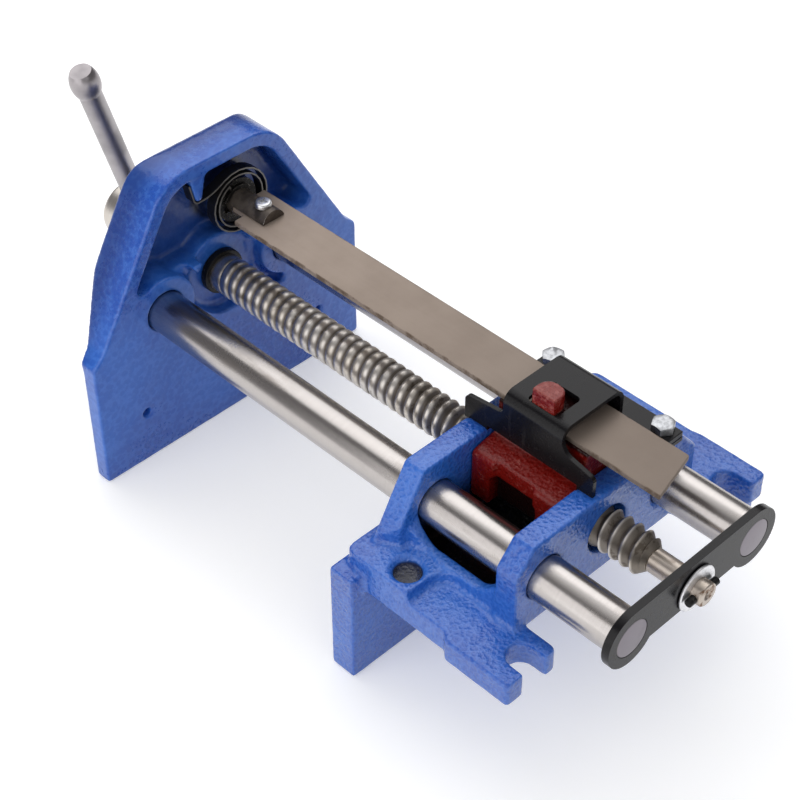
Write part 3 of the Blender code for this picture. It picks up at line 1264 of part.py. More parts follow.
def unit(angle):
    return Vector((cos(angle), sin(angle)))


def least_gap(path, thickness):
    """The narrowest gap between two stretches of a strip that aren't next to each other along it."""
    gap = None
    for index, point in enumerate(path):
        for other in path[index + SPRING_POINTS_PER_TURN // 2:]:
            reach = (other - point).length - thickness
            gap = reach if gap is None else min(gap, reach)
    return gap


def make_torsion_spring():
    """Flat strip wound on edge round the hub and hooked on the jaw's tooth."""
    path = spring_path()
    outline = strip_outline([tuple(point) for point in path], SPRING_THICKNESS)
    spring = prism(
        "torsion_spring", "XZ", [outline], -SPRING_NEAR_DEPTH - SPRING_WIDTH, -SPRING_NEAR_DEPTH
    )
    finish(spring, "black_steel")
    print("torsion_spring, least gap to itself in metres:", least_gap(path, SPRING_THICKNESS))


def make_tongue_screw():
    """Pan head screw with a cross recess, through the tongue into the bar."""
    place = along("Z", (RELEASE_X, TONGUE_SCREW_Y))
    seat = TONGUE_SEAT_HEIGHT + REST_GAP
    top = seat + TONGUE_SCREW_HEAD_HEIGHT
    rounding = TONGUE_SCREW_HEAD_HEIGHT / 2
    profile = [
        (0, BAR_UNDERSIDE),
        (TONGUE_SCREW_RADIUS, BAR_UNDERSIDE),
        (TONGUE_SCREW_RADIUS, seat),
        (TONGUE_SCREW_HEAD_RADIUS, seat),
    ]
    profile += arc((TONGUE_SCREW_HEAD_RADIUS - rounding, top - rounding), rounding, 0, pi / 2)
    profile.append((0, top))
    screw = turned("tongue_screw", place, profile, SMALL_ROUND_STEPS)
    for name, along_x in (("cross recess", True), ("second cross recess", False)):
        length, width = CROSS_RECESS_LENGTH / 2, CROSS_RECESS_WIDTH / 2
        half_x, half_y = (length, width) if along_x else (width, length)
        recess = box_outline(
            RELEASE_X - half_x, RELEASE_X + half_x, TONGUE_SCREW_Y - half_y, TONGUE_SCREW_Y + half_y
        )
        cut(screw, prism(name, "XY", [recess], top - CROSS_RECESS_DEPTH, top + OVERRUN))
    finish(screw, "zinc", (RELEASE_X, 0, RELEASE_HEIGHT))


def make_release_lever():
    """Tapered lever arm with a round boss on the spindle, and the pin that holds it."""
    heading = pi + LEVER_DROP
    centre = Vector(RELEASE_AXIS)
    tip = centre + LEVER_REACH * unit(heading)
    outline = arc(tip, LEVER_TIP_HALF_WIDTH, heading - pi / 2, heading + pi / 2)
    outline += arc(centre, LEVER_ROOT_HALF_WIDTH, heading + pi / 2, heading + 3 * pi / 2)
    arm_start = LEVER_MIDDLE_Y - LEVER_ARM_THICKNESS / 2
    lever = prism("release_lever", "XZ", [outline], arm_start, arm_start + LEVER_ARM_THICKNESS)
    boss_start = LEVER_MIDDLE_Y - LEVER_BOSS_LENGTH / 2
    boss_end = boss_start + LEVER_BOSS_LENGTH
    join(lever, cylinder("lever boss", along("Y", RELEASE_AXIS), LEVER_BOSS_RADIUS, boss_start, boss_end))
    bore_radius = SPINDLE_RADIUS + RUNNING_GAP
    cut(lever, cylinder(
        "lever bore", along("Y", RELEASE_AXIS), bore_radius, boss_start - OVERRUN, boss_end + OVERRUN
    ))
    cut(lever, lever_pin_shape("lever pin hole", RUNNING_GAP, OVERRUN))
    finish(lever, "black_steel", (RELEASE_X, 0, RELEASE_HEIGHT))
    finish(lever_pin_shape("lever_pin", 0, 0), "black_steel", (RELEASE_X, 0, RELEASE_HEIGHT))


make_front_jaw()
make_guide_rods()
make_end_plate()
make_main_screw()
make_screw_trim()
make_handle()
make_rear_casting()
make_half_nut()
make_saddle_bracket()
make_keeper_strip()
make_keeper_bolts()
make_release_bar()
make_release_spindle()
make_spring_hub()
make_torsion_spring()
make_tongue_screw()
make_release_lever()
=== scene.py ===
"""Looks of a quick-release woodworking vise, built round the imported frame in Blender 4.5. Metres, +Z up."""

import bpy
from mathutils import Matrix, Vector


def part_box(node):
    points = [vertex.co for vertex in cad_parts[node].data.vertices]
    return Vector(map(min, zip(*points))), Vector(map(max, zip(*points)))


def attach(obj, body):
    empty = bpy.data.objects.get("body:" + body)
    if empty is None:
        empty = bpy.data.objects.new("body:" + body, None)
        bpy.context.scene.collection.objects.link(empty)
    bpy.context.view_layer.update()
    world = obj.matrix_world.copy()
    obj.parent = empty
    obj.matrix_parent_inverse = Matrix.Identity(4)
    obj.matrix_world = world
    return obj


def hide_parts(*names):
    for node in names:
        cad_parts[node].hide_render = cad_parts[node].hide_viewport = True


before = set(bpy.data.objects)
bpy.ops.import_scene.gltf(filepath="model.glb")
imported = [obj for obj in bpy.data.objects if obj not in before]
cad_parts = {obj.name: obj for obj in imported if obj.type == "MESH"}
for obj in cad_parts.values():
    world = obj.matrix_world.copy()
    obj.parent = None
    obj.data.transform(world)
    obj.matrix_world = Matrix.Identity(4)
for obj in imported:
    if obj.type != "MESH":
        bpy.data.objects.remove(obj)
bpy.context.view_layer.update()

from math import atan2, cos, pi, radians, sin, sqrt, tan

import bmesh
import bpy
from mathutils import Matrix, Vector

# Studio
# The vise stands upside down on the edges of its jaws, on a white sweep under soft lamps.
# The camera looks down on the rear end from the left, at the angle and with the lens of the photograph.
JAW_FACE_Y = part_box("front_jaw")[1][1]
CAMERA_PLACE = Vector((0.479885, JAW_FACE_Y + 0.611178, 0.692003))
CAMERA_TURN = radians(134.42)
CAMERA_DROP = radians(42.04)
CAMERA_ROLL = radians(0.59)
FOCAL_PIXELS = 1904.34
FRAME_PIXELS = 800
SENSOR_MM = 36
OFF_CENTRE_PIXELS = (24.21, 8.26)
NEAR_CLIP = 0.05
MIDDLE = Vector((0, 0, 0.08))

to_camera = Vector(
    (sin(CAMERA_TURN) * cos(CAMERA_DROP), -cos(CAMERA_TURN) * cos(CAMERA_DROP), sin(CAMERA_DROP))
)
level_right = Vector((cos(CAMERA_TURN), sin(CAMERA_TURN), 0))
level_up = to_camera.cross(level_right)
camera_right = level_right * cos(CAMERA_ROLL) + level_up * sin(CAMERA_ROLL)
camera_up = level_up * cos(CAMERA_ROLL) - level_right * sin(CAMERA_ROLL)
lens = bpy.data.cameras.new("camera")
lens.sensor_width = SENSOR_MM
lens.lens = FOCAL_PIXELS * SENSOR_MM / FRAME_PIXELS
lens.shift_x = -OFF_CENTRE_PIXELS[0] / FRAME_PIXELS
lens.shift_y = OFF_CENTRE_PIXELS[1] / FRAME_PIXELS
lens.clip_start = NEAR_CLIP
camera = bpy.data.objects.new("camera", lens)
camera.matrix_world = (
    Matrix.Translation(CAMERA_PLACE) @ Matrix((camera_right, camera_up, to_camera)).transposed().to_4x4()
)
bpy.context.scene.collection.objects.link(camera)
bpy.context.scene.camera = camera
bpy.context.scene.view_settings.view_transform = "Standard"


def add_lamp(name, place, size, watts):
    """A soft box that points at the middle of the vise."""
    light = bpy.data.lights.new(name, "AREA")
    light.shape = "RECTANGLE"
    light.size, light.size_y = size
    light.energy = watts
    lamp = bpy.data.objects.new(name, light)
    lamp.location = place
    lamp.rotation_euler = (MIDDLE - Vector(place)).to_track_quat("-Z", "Y").to_euler()
    bpy.context.scene.collection.objects.link(lamp)


add_lamp("key", place=(-0.42, -0.7, 1.12), size=(1.9, 1.15), watts=9.5)
add_lamp("fill", place=(1.3, 0.1, 0.6), size=(1.7, 1.2), watts=9)
add_lamp("rim", place=(0.25, 1.3, 0.85), size=(1.0, 0.5), watts=1.5)


class Wire:
    """A socket, on which Python's operators make Math nodes."""

    def __init__(self, nodes, socket):
        self.nodes = nodes
        self.socket = socket

    def math(self, operation, other=None, swapped=False):
        pair = (other, self) if swapped else (self, other)
        sockets = {index: value for index, value in enumerate(pair) if value is not None}
        return self.nodes.node("ShaderNodeMath", {"operation": operation}, sockets)

    def __add__(self, other):
        return self.math("ADD", other)

    def __sub__(self, other):
        return self.math("SUBTRACT", other)

    def __rsub__(self, other):
        return self.math("SUBTRACT", other, True)

    def __mul__(self, other):
        return self.math("MULTIPLY", other)

    __radd__ = __add__
    __rmul__ = __mul__

    def __truediv__(self, other):
        return self.math("DIVIDE", other)

    def __pow__(self, other):
        return self.math("POWER", other)

    def between(self, low, high):
        """0 below low, 1 above high and smooth between them."""
        settings = {"interpolation_type": "SMOOTHSTEP"}
        return self.nodes.node("ShaderNodeMapRange", settings, {0: self, 1: low, 2: high})


X, Y, Z = range(3)


class Nodes:
    """A tree of nodes, and the one way to add to it."""

    def __init__(self, tree):
        self.tree = tree

    def node(self, kind, settings, sockets, output=0):
        made = self.tree.nodes.new(kind)
        for key, value in settings.items():
            setattr(made, key, value)
        for key, value in sockets.items():
            self.join(value, made.inputs[key])
        return Wire(self, made.outputs[output])

    def join(self, value, socket):
        if isinstance(value, Wire):
            self.tree.links.new(value.socket, socket)
        elif isinstance(value, tuple) and socket.type == "RGBA":
            socket.default_value = (*value, 1)
        else:
            socket.default_value = value

    def mix(self, factor, first, second, most=1):
        """Goes from the first colour towards the second, by the share most where the factor is 1."""
        share = factor if most == 1 else factor * most
        return self.node("ShaderNodeMix", {"data_type": "RGBA"}, {0: share, 6: first, 7: second}, 2)

    def split(self, vector, axis):
        return self.node("ShaderNodeSeparateXYZ", {}, {0: vector}, axis)

    def length(self, vector):
        return self.node("ShaderNodeVectorMath", {"operation": "LENGTH"}, {0: vector}, 1)


class Finish(Nodes):
    """A material with a Principled shader."""

    def __init__(self, name, **sockets):
        self.material = bpy.data.materials.new(name)
        self.material.use_nodes = True
        super().__init__(self.material.node_tree)
        self.shader = self.tree.nodes["Principled BSDF"]
        self.place = self.node("ShaderNodeTexCoord", {}, {}, "Object")
        self.set(**sockets)

    def set(self, **sockets):
        """Sets or links sockets of the shader, such as base_color."""
        for key, value in sockets.items():
            self.join(value, self.shader.inputs[key.replace("_", " ").title().replace("Ior", "IOR")])

    def along(self, axis):
        """The object coordinate along an axis."""
        return self.split(self.place, axis)

    def colour(self):
        """What feeds the base colour so far."""
        return Wire(self, self.shader.inputs["Base Color"].links[0].from_socket)

    def stretched(self, scale, turn=(0, 0, 0), move=(0, 0, 0)):
        """Object coordinates, moved, turned and stretched by a Mapping node."""
        settings = {"vector_type": "POINT"}
        turned = self.node("ShaderNodeMapping", settings, {0: self.place, 1: move, 2: turn})
        return self.node("ShaderNodeMapping", settings, {0: turned, 3: scale})

    def noise(self, scale, detail=3, roughness=0.5, place=None):
        sockets = {"Vector": place or self.place, "Scale": scale, "Detail": detail, "Roughness": roughness}
        return self.node("ShaderNodeTexNoise", {}, sockets)

    def speckle(self, scale):
        """Fine noise with much contrast."""
        return self.noise(scale, detail=4, roughness=0.7)

    def streaks(self, stretch, detail=3, roughness=0.6, turn=(0, 0, 0)):
        """Noise with its own scale along each axis."""
        return self.noise(1, detail, roughness, self.stretched(stretch, turn))

    def cells(self, scale):
        return self.node("ShaderNodeTexVoronoi", {"feature": "F1"}, {"Vector": self.place, "Scale": scale})

    def bump(self, height, distance):
        sockets = {"Height": height, "Distance": distance, "Strength": 1}
        self.set(normal=self.node("ShaderNodeBump", {}, sockets))


WHITE = (1.0, 1.0, 1.0)
BLACK = (0, 0, 0)
FLOOR_SIZE = 12
PAPER_COLOUR = (0.84, 0.84, 0.84)
PAPER_ROUGHNESS = 0.9
PAPER_GLOW = 0.3
floor_mesh = bpy.data.meshes.new("floor")
work = bmesh.new()
bmesh.ops.create_grid(work, x_segments=1, y_segments=1, size=FLOOR_SIZE / 2)
work.to_mesh(floor_mesh)
work.free()
floor = bpy.data.objects.new("floor", floor_mesh)
bpy.context.scene.collection.objects.link(floor)
paper = Finish("white_paper", base_color=PAPER_COLOUR, roughness=PAPER_ROUGHNESS)
paper.set(emission_strength=PAPER_GLOW)
seen_by_camera = paper.node("ShaderNodeLightPath", {}, {}, "Is Camera Ray")
seen_in_gloss = paper.node("ShaderNodeLightPath", {}, {}, "Is Glossy Ray")
paper.set(emission_color=paper.mix((seen_by_camera + seen_in_gloss).math("MINIMUM", 1), BLACK, WHITE))
floor_mesh.materials.append(paper.material)

# Matt surfaces are lit by a sky that pales with height. Metal shows a dark room with a leaning soft box
# overhead and the pale sweep low down on one side, as the photographed rods do.
LIGHT_STRENGTH = 0.74
HORIZON_GREY = (0.3, 0.3, 0.32)
SKY_HEIGHTS = (0.0, 0.8)
GLOSS_GREY = (0.16, 0.155, 0.16)
GLOSS_LEAN = radians(15)
SOFT_BOX_HEIGHTS = (0.6, 1.05)
SWEEP_GREY = (0.45, 0.44, 0.45)
SWEEP_HEIGHTS = (0.05, 0.2)
SWEEP_SIDE = (0.0, 0.4)
world = bpy.data.worlds.new("studio")
world.use_nodes = True
bpy.context.scene.world = world
background = world.node_tree.nodes["Background"]
sky = Nodes(world.node_tree)
kinds = ("Camera", "Glossy", "Transmission")
rays = {kind: sky.node("ShaderNodeLightPath", {}, {}, f"Is {kind} Ray") for kind in kinds}
gloss = (rays["Glossy"] + rays["Transmission"]).math("MINIMUM", 1)
seen = (rays["Camera"] + gloss).math("MINIMUM", 1)
sky.join(LIGHT_STRENGTH + seen * (1 - LIGHT_STRENGTH), background.inputs["Strength"])
direction = sky.node("ShaderNodeTexCoord", {}, {}, "Generated")
sideways, height = sky.split(direction, X), sky.split(direction, Z)
soft = sky.mix(height.between(*SKY_HEIGHTS), HORIZON_GREY, WHITE)
overhead = (height * cos(GLOSS_LEAN) - sideways * sin(GLOSS_LEAN)).between(*SOFT_BOX_HEIGHTS)
sweep = (1 - height.between(*SWEEP_HEIGHTS)) * sideways.between(*SWEEP_SIDE)
mirrored = sky.mix(sweep, sky.mix(overhead, GLOSS_GREY, WHITE), SWEEP_GREY)
lit = sky.mix(gloss, soft, mirrored)
sky.join(sky.mix(rays["Camera"], lit, WHITE), background.inputs["Color"])

# Front jaw casting
# The moving jaw is one iron casting: a plate that swells into a deep arch, hollow behind, with bosses
# for the rods, the screw and the release spindle. It is sand cast, fettled and dipped in blue enamel.
FRONT_JAW_VOXEL = 0.0008
FRONT_JAW_SOFTENING = 4
FRONT_JAW_FACES = 150000
SAND_WAVE_LENGTH = 0.007
SAND_WAVE_HEIGHT = 0.00022
CAST_FILLET = 0.0015
WELD_DISTANCE = 0.000001
BLUE_DEEP = (0.012, 0.075, 0.40)
BLUE_PALE = (0.022, 0.125, 0.52)
BLUE_WORN = (0.08, 0.24, 0.72)
# Painted shade for the deep pockets behind the jaw's face.
BLUE_POCKET_SHADE = (0.004, 0.012, 0.10)
CHIP_COLOUR = (0.5, 0.55, 0.65)
CHIP_EDGE = (0.02, 0.045)
# Painted shade: near-black on the plate round the spring hub, where the coil shades it.
HUB_SHADE_COLOUR = (0.006, 0.006, 0.008)
HUB_SHADE_RADIUS = 0.0185
HUB_SHADE_EDGE = (HUB_SHADE_RADIUS - 0.001, HUB_SHADE_RADIUS + 0.004)
HUB_SHADE_WANDER = 0.004
PLATE_DEPTHS = (JAW_FACE_Y - 0.0125, JAW_FACE_Y - 0.0065)
POCKET_MOUTH = (JAW_FACE_Y - 0.020, JAW_FACE_Y - 0.004)
POCKET_FLOOR = (JAW_FACE_Y - 0.0325, JAW_FACE_Y - 0.0315)


def copy_of(node):
    """The node's shape as a plain closed mesh."""
    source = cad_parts[node].data
    mesh = bpy.data.meshes.new(node)
    mesh.from_pydata([point.co for point in source.vertices], [], [face.vertices for face in source.polygons])
    work = bmesh.new()
    work.from_mesh(mesh)
    bmesh.ops.remove_doubles(work, verts=work.verts, dist=WELD_DISTANCE)
    work.to_mesh(mesh)
    work.free()
    return mesh


def middle_of(node):
    low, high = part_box(node)
    return (Vector(low) + Vector(high)) / 2


def settled(draft):
    """The plain mesh that an object's modifiers give, without the object."""
    graph = bpy.context.evaluated_depsgraph_get()
    mesh = bpy.data.meshes.new_from_object(draft.evaluated_get(graph))
    bpy.data.objects.remove(draft)
    return mesh


def draft_of(name, mesh, *steps):
    """An object with modifiers, each given by its type and its settings."""
    draft = bpy.data.objects.new(name, mesh)
    bpy.context.scene.collection.objects.link(draft)
    for kind, settings in steps:
        modifier = draft.modifiers.new(kind.lower(), kind)
        for key, value in settings.items():
            setattr(modifier, key, value)
    return draft


def hold_inside(mesh, node, reach=0):
    """Keeps every point within the node's own box, or up to its reach rearward."""
    low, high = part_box(node)
    high = (high[0], max(high[1], reach), high[2])
    for point in mesh.vertices:
        point.co = [min(max(value, least), most) for value, least, most in zip(point.co, low, high)]


def cast(node, voxel, softening, most_faces, fillet=0, wave_height=SAND_WAVE_HEIGHT, shape=None, reach=0):
    """The node's shape, or one made from it, as it comes from the sand. Growing and shrinking it by the
    fillet fills its inner corners, softening rounds its edges, and its faces end slightly uneven."""
    waves = bpy.data.textures.new("sand_waves", "CLOUDS")
    waves.noise_scale = SAND_WAVE_LENGTH
    skin = ("REMESH", {"mode": "VOXEL", "voxel_size": voxel})
    steps = [skin]
    if fillet:
        steps += [
            ("DISPLACE", {"strength": fillet, "mid_level": 0}), skin,
            ("DISPLACE", {"strength": -fillet, "mid_level": 0}), skin,
        ]
    mesh = settled(draft_of(
        node, shape or copy_of(node), *steps,
        ("SMOOTH", {"factor": 0.5, "iterations": softening}),
        ("DISPLACE", {"texture": waves, "strength": wave_height, "texture_coords": "LOCAL"}),
    ))
    quads = len(mesh.polygons)
    mesh = settled(draft_of(node, mesh, ("DECIMATE", {"ratio": min(1, most_faces / quads / 2)})))
    hold_inside(mesh, node, reach)
    mesh.shade_smooth()
    return mesh


def place_piece(name, mesh, finish, body, nodes, crease=pi, edge_finish=None):
    """Shades a mesh smooth up to its creases and fixes it to its body in the place of its nodes."""
    face_materials = [face.material_index for face in mesh.polygons]
    mesh.materials.clear()
    mesh.materials.append(finish.material)
    if edge_finish:
        mesh.materials.append(edge_finish.material)
        mesh.polygons.foreach_set("material_index", face_materials)
    if crease < pi:
        mesh.shade_smooth()
        mesh.set_sharp_from_angle(angle=crease)
    piece = bpy.data.objects.new(name, mesh)
    bpy.context.scene.collection.objects.link(piece)
    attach(piece, body)
    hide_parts(*nodes)


def enamel(name, grain_height, grain_scale, gloss, shine):
    """Thick enamel over sand-cast skin: a colour that drifts, fine orange peel and small chips."""
    paint = Finish(name, coat_weight=0.12, coat_roughness=0.08, specular_ior_level=shine)
    drift = paint.noise(scale=14, detail=3).between(0.35, 0.65)
    grain = paint.noise(grain_scale, detail=2, roughness=0.55)
    pits = paint.cells(grain_scale * 0.55).between(0.0, 0.75)
    skin = grain * 0.6 + pits * 0.4
    chip = 1 - paint.cells(scale=115).between(*CHIP_EDGE)
    worn = paint.noise(scale=46, detail=4).between(0.62, 0.7)
    colour = paint.mix(drift, BLUE_DEEP, BLUE_PALE)
    colour = paint.mix(skin.between(0.5, 0.8), colour, BLUE_WORN, most=0.3)
    colour = paint.mix(chip * worn, colour, CHIP_COLOUR, most=0.7)
    paint.set(base_color=colour, roughness=gloss + drift * 0.05 + grain * 0.06)
    paint.bump(skin + paint.noise(scale=90, detail=2) * 0.8, grain_height)
    return paint


jaw_enamel = enamel("blue_enamel", grain_height=0.00012, grain_scale=560, gloss=0.24, shine=0.55)
hub_middle = middle_of("spring_hub")
from_hub = jaw_enamel.length(jaw_enamel.stretched((1, 0, 1), move=(-hub_middle.x, 0, -hub_middle.z)))
# Painted shade round the spring hub, limited to the plate behind the jaw's face.
hub_shade = 1 - (from_hub + jaw_enamel.noise(scale=180) * HUB_SHADE_WANDER).between(*HUB_SHADE_EDGE)
depth = jaw_enamel.along(Y)
# Painted shade: the enamel darkens deep in the pockets, between their mouth and floor.
pocket_shade = (1 - depth.between(*POCKET_MOUTH)) * depth.between(*POCKET_FLOOR)
painted = jaw_enamel.mix(pocket_shade, jaw_enamel.colour(), BLUE_POCKET_SHADE, most=0.6)
hub_shade_on_plate = hub_shade * (1 - depth.between(*PLATE_DEPTHS))
jaw_enamel.set(base_color=jaw_enamel.mix(hub_shade_on_plate, painted, HUB_SHADE_COLOUR, most=0.9))
jaw = cast("front_jaw", FRONT_JAW_VOXEL, FRONT_JAW_SOFTENING, FRONT_JAW_FACES, CAST_FILLET)
place_piece("front_jaw_casting", jaw, jaw_enamel, "front_body", ["front_jaw"])

# Rear jaw casting
# The fixed jaw, its flange with the two slotted lugs, and the cross walls that carry the rods are one
# iron casting in the same blue enamel, coarser here because its faces are left as they came from the sand.
REAR_CASTING_VOXEL = 0.0008
REAR_CASTING_SOFTENING = 3
REAR_CASTING_FACES = 180000
LUG_END = JAW_FACE_Y + 0.2776
# The flange as photographed, added to a copy of the solid: it closes the bay from below, and its far side
# is thicker, with a relieved lug and the slot further out.
BAY_HALF_WIDTH = 0.0535
BAY_FRONT = JAW_FACE_Y + 0.184
BAY_REAR = JAW_FACE_Y + 0.2496
FLANGE_UNDERSIDE = 0.0547
FLANGE_TOP = 0.0683
PAD_TOP = 0.0739
THICK_SIDE_TOP = 0.0765
THICK_SIDE_OUTLINE = [
    (-0.0562, JAW_FACE_Y + 0.1718), (-0.088, JAW_FACE_Y + 0.1718, 0.005), (-0.088, JAW_FACE_Y + 0.2345),
    (-0.089, JAW_FACE_Y + 0.2385), (-0.089, LUG_END, 0.0025), (-0.0543, LUG_END, 0.0025),
    (-0.0543, JAW_FACE_Y + 0.2435), (-0.0562, JAW_FACE_Y + 0.2435),
]
RELIEF_LENGTH = 0.006
RELIEF_HEIGHT = 0.0082
RELIEF_X = (-0.1, -0.04)
SLOT_RADIUS = 0.0071
SLOT_ROUND = SLOT_RADIUS * 0.999
SLOT_ROOT = JAW_FACE_Y + 0.2606
SLOTS_X = (-0.0715, 0.0681)
HOLE_PLACE = (0.0708, JAW_FACE_Y + 0.2011)
HOLE_RADIUS = 0.0066
SINK_RADIUS = 0.0088
PAST = 0.004
FLOOR_DROP = 0.0005
# Painted shade: near-black on the bay's floor and low walls under the half nut.
BAY_EDGE = (BAY_HALF_WIDTH - 0.001, BAY_HALF_WIDTH)
BAY_CLEARANCES = (0.0015, 0.002)
BAY_RIM_HEIGHTS = (0.072, 0.1)
BAY_FOOT_HEIGHTS = (0.06, 0.066)
BAY_SHADE = (0.002, 0.002, 0.003)
# Painted shade: the walls of the flange's screw holes are darkened below the countersink.
HOLE_EDGE = (0.0068, 0.0074)
HOLE_HEIGHTS = (0.0705, 0.0725)
HOLE_SHADE = (0.02, 0.016, 0.022)
ROUND_STEPS = 96
CORNER_STEPS = 5


def rounded(corners):
    """An open line through corners (u, v, radius), with an arc in place of each corner that has a radius."""
    line = []
    for index, corner in enumerate(corners):
        here = Vector(corner[:2])
        if len(corner) == 2 or not 0 < index < len(corners) - 1:
            line.append(here)
            continue
        back = (Vector(corners[index - 1][:2]) - here).normalized()
        on = (Vector(corners[index + 1][:2]) - here).normalized()
        half_angle = back.angle(on) / 2
        centre = here + (back + on).normalized() * corner[2] / sin(half_angle)
        first = here + back * corner[2] / tan(half_angle) - centre
        last = here + on * corner[2] / tan(half_angle) - centre
        turn = (atan2(last.y, last.x) - atan2(first.y, first.x) + pi) % (2 * pi) - pi
        turns = [turn * step / CORNER_STEPS for step in range(CORNER_STEPS + 1)]
        line += [centre + Matrix.Rotation(part, 2) @ first for part in turns]
    return line


def lathe(name, corners, place, steps=ROUND_STEPS, closed=False):
    """A solid turned about the local Z of its place from a line of (radius, along), which either runs
    from axis to axis or is closed."""
    mesh = bpy.data.meshes.new(name)
    work = bmesh.new()
    rings = []
    for radius, height in rounded(corners):
        if radius < WELD_DISTANCE:
            rings.append([work.verts.new((0, 0, height))])
            continue
        angles = [2 * pi * step / steps for step in range(steps)]
        rings.append([work.verts.new((radius * cos(a), radius * sin(a), height)) for a in angles])
    for near, far in list(zip(rings, rings[1:])) + ([(rings[-1], rings[0])] if closed else []):
        for step in range(steps):
            after = (step + 1) % steps
            there = [near[step % len(near)], near[after % len(near)]]
            back = [far[after % len(far)], far[step % len(far)]]
            unlike = list(dict.fromkeys(there + back))
            if len(unlike) > 2:
                work.faces.new(unlike)
    bmesh.ops.recalc_face_normals(work, faces=work.faces)
    work.to_mesh(mesh)
    work.free()
    mesh.transform(place)
    return mesh


def joined(name, *meshes):
    """Several closed meshes as one."""
    work = bmesh.new()
    for mesh in meshes:
        work.from_mesh(mesh)
    open_edges = [edge for edge in work.edges if edge.is_boundary]
    if open_edges:
        bmesh.ops.holes_fill(work, edges=open_edges, sides=0)
    whole = bpy.data.meshes.new(name)
    work.to_mesh(whole)
    work.free()
    return whole


def drilled(mesh, drill):
    """A mesh less the shape of a drill, which is closed too."""
    tool = draft_of("drill", drill)
    settings = {"object": tool, "operation": "DIFFERENCE", "solver": "EXACT"}
    result = settled(draft_of(mesh.name, mesh, ("BOOLEAN", settings)))
    bpy.data.objects.remove(tool)
    return result


def slab(name, outline, low, high):
    """A flat plate between two heights, cut to an outline of (x, y, radius)."""
    mesh = bpy.data.meshes.new(name)
    work = bmesh.new()
    rims = [[work.verts.new((*point, rise)) for point in rounded(outline)] for rise in (low, high)]
    for rim in rims:
        work.faces.new(rim)
    for index in range(len(rims[0])):
        work.faces.new((rims[0][index - 1], rims[0][index], rims[1][index], rims[1][index - 1]))
    bmesh.ops.recalc_face_normals(work, faces=work.faces)
    work.to_mesh(mesh)
    work.free()
    return mesh


def box_of(name, low, high):
    outline = [(low[0], low[1]), (high[0], low[1]), (high[0], high[1]), (low[0], high[1])]
    return slab(name, outline, low[2], high[2])


casting = copy_of("rear_casting")
thick_side = slab("thick_side", THICK_SIDE_OUTLINE, FLANGE_UNDERSIDE, THICK_SIDE_TOP)
bay_floor = box_of("bay_floor", (-BAY_HALF_WIDTH - PAST / 2, BAY_FRONT, FLANGE_UNDERSIDE),
                   (BAY_HALF_WIDTH + PAST / 2, BAY_REAR, FLANGE_TOP - FLOOR_DROP))
relief = box_of("relief", (RELIEF_X[0], LUG_END - RELIEF_LENGTH, FLANGE_UNDERSIDE - PAST),
                (RELIEF_X[1], LUG_END + PAST, FLANGE_UNDERSIDE + RELIEF_HEIGHT))
thick_side = drilled(thick_side, relief)
parts = []
for mesh in (casting, thick_side):
    for slot_x, top in zip(SLOTS_X, (THICK_SIDE_TOP, PAD_TOP)):
        slot_outline = [
            (slot_x - SLOT_RADIUS, LUG_END + PAST), (slot_x - SLOT_RADIUS, SLOT_ROOT, SLOT_ROUND),
            (slot_x + SLOT_RADIUS, SLOT_ROOT, SLOT_ROUND), (slot_x + SLOT_RADIUS, LUG_END + PAST),
        ]
        mesh = drilled(mesh, slab("slot", slot_outline, FLANGE_UNDERSIDE - PAST, top + PAST))
        side = HOLE_PLACE[0] * (1 if slot_x > 0 else -1)
        sink = SINK_RADIUS - HOLE_RADIUS
        mesh = drilled(mesh, lathe("screw_hole", [
            (0, FLANGE_UNDERSIDE - PAST), (HOLE_RADIUS, FLANGE_UNDERSIDE - PAST), (HOLE_RADIUS, top - sink),
            (SINK_RADIUS, top), (SINK_RADIUS, top + PAST / 8), (0, top + PAST / 8),
        ], Matrix.Translation((side, HOLE_PLACE[1], 0)), ROUND_STEPS // 2))
    parts.append(mesh)
rear_shape = joined("rear_casting", *parts, bay_floor)
rough_enamel = enamel("rough_blue_enamel", grain_height=0.00055, grain_scale=820, gloss=0.17, shine=0.7)
nut_low, nut_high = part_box("half_nut")
bay_middle, bay_half = (nut_low[1] + nut_high[1]) / 2, (nut_high[1] - nut_low[1]) / 2
across, rise = rough_enamel.along(X).math("ABSOLUTE"), rough_enamel.along(Z)
from_middle = (rough_enamel.along(Y) - bay_middle).math("ABSOLUTE")
bay_ends = [bay_half + clearance for clearance in BAY_CLEARANCES]
# Painted shade in the bay under the half nut.
in_bay = (1 - across.between(*BAY_EDGE)) * (1 - from_middle.between(*bay_ends))
bay_painted_shade = in_bay * (1 - rise.between(*BAY_RIM_HEIGHTS)) * rise.between(*BAY_FOOT_HEIGHTS)
# Painted shade in the screw holes of the flange.
to_hole = {0: across - HOLE_PLACE[0], 1: rough_enamel.along(Y) - HOLE_PLACE[1]}
from_hole = rough_enamel.length(rough_enamel.node("ShaderNodeCombineXYZ", {}, to_hole))
hole_painted_shade = (1 - from_hole.between(*HOLE_EDGE)) * (1 - rise.between(*HOLE_HEIGHTS))
painted = rough_enamel.mix(hole_painted_shade, rough_enamel.colour(), HOLE_SHADE, most=0.9)
rough_enamel.set(base_color=rough_enamel.mix(bay_painted_shade, painted, BAY_SHADE))
rear_jaw = cast(
    "rear_casting", REAR_CASTING_VOXEL, REAR_CASTING_SOFTENING, REAR_CASTING_FACES, CAST_FILLET,
    shape=rear_shape, reach=LUG_END,
)
place_piece("rear_jaw_casting", rear_jaw, rough_enamel, "rear_body", ["rear_casting"])

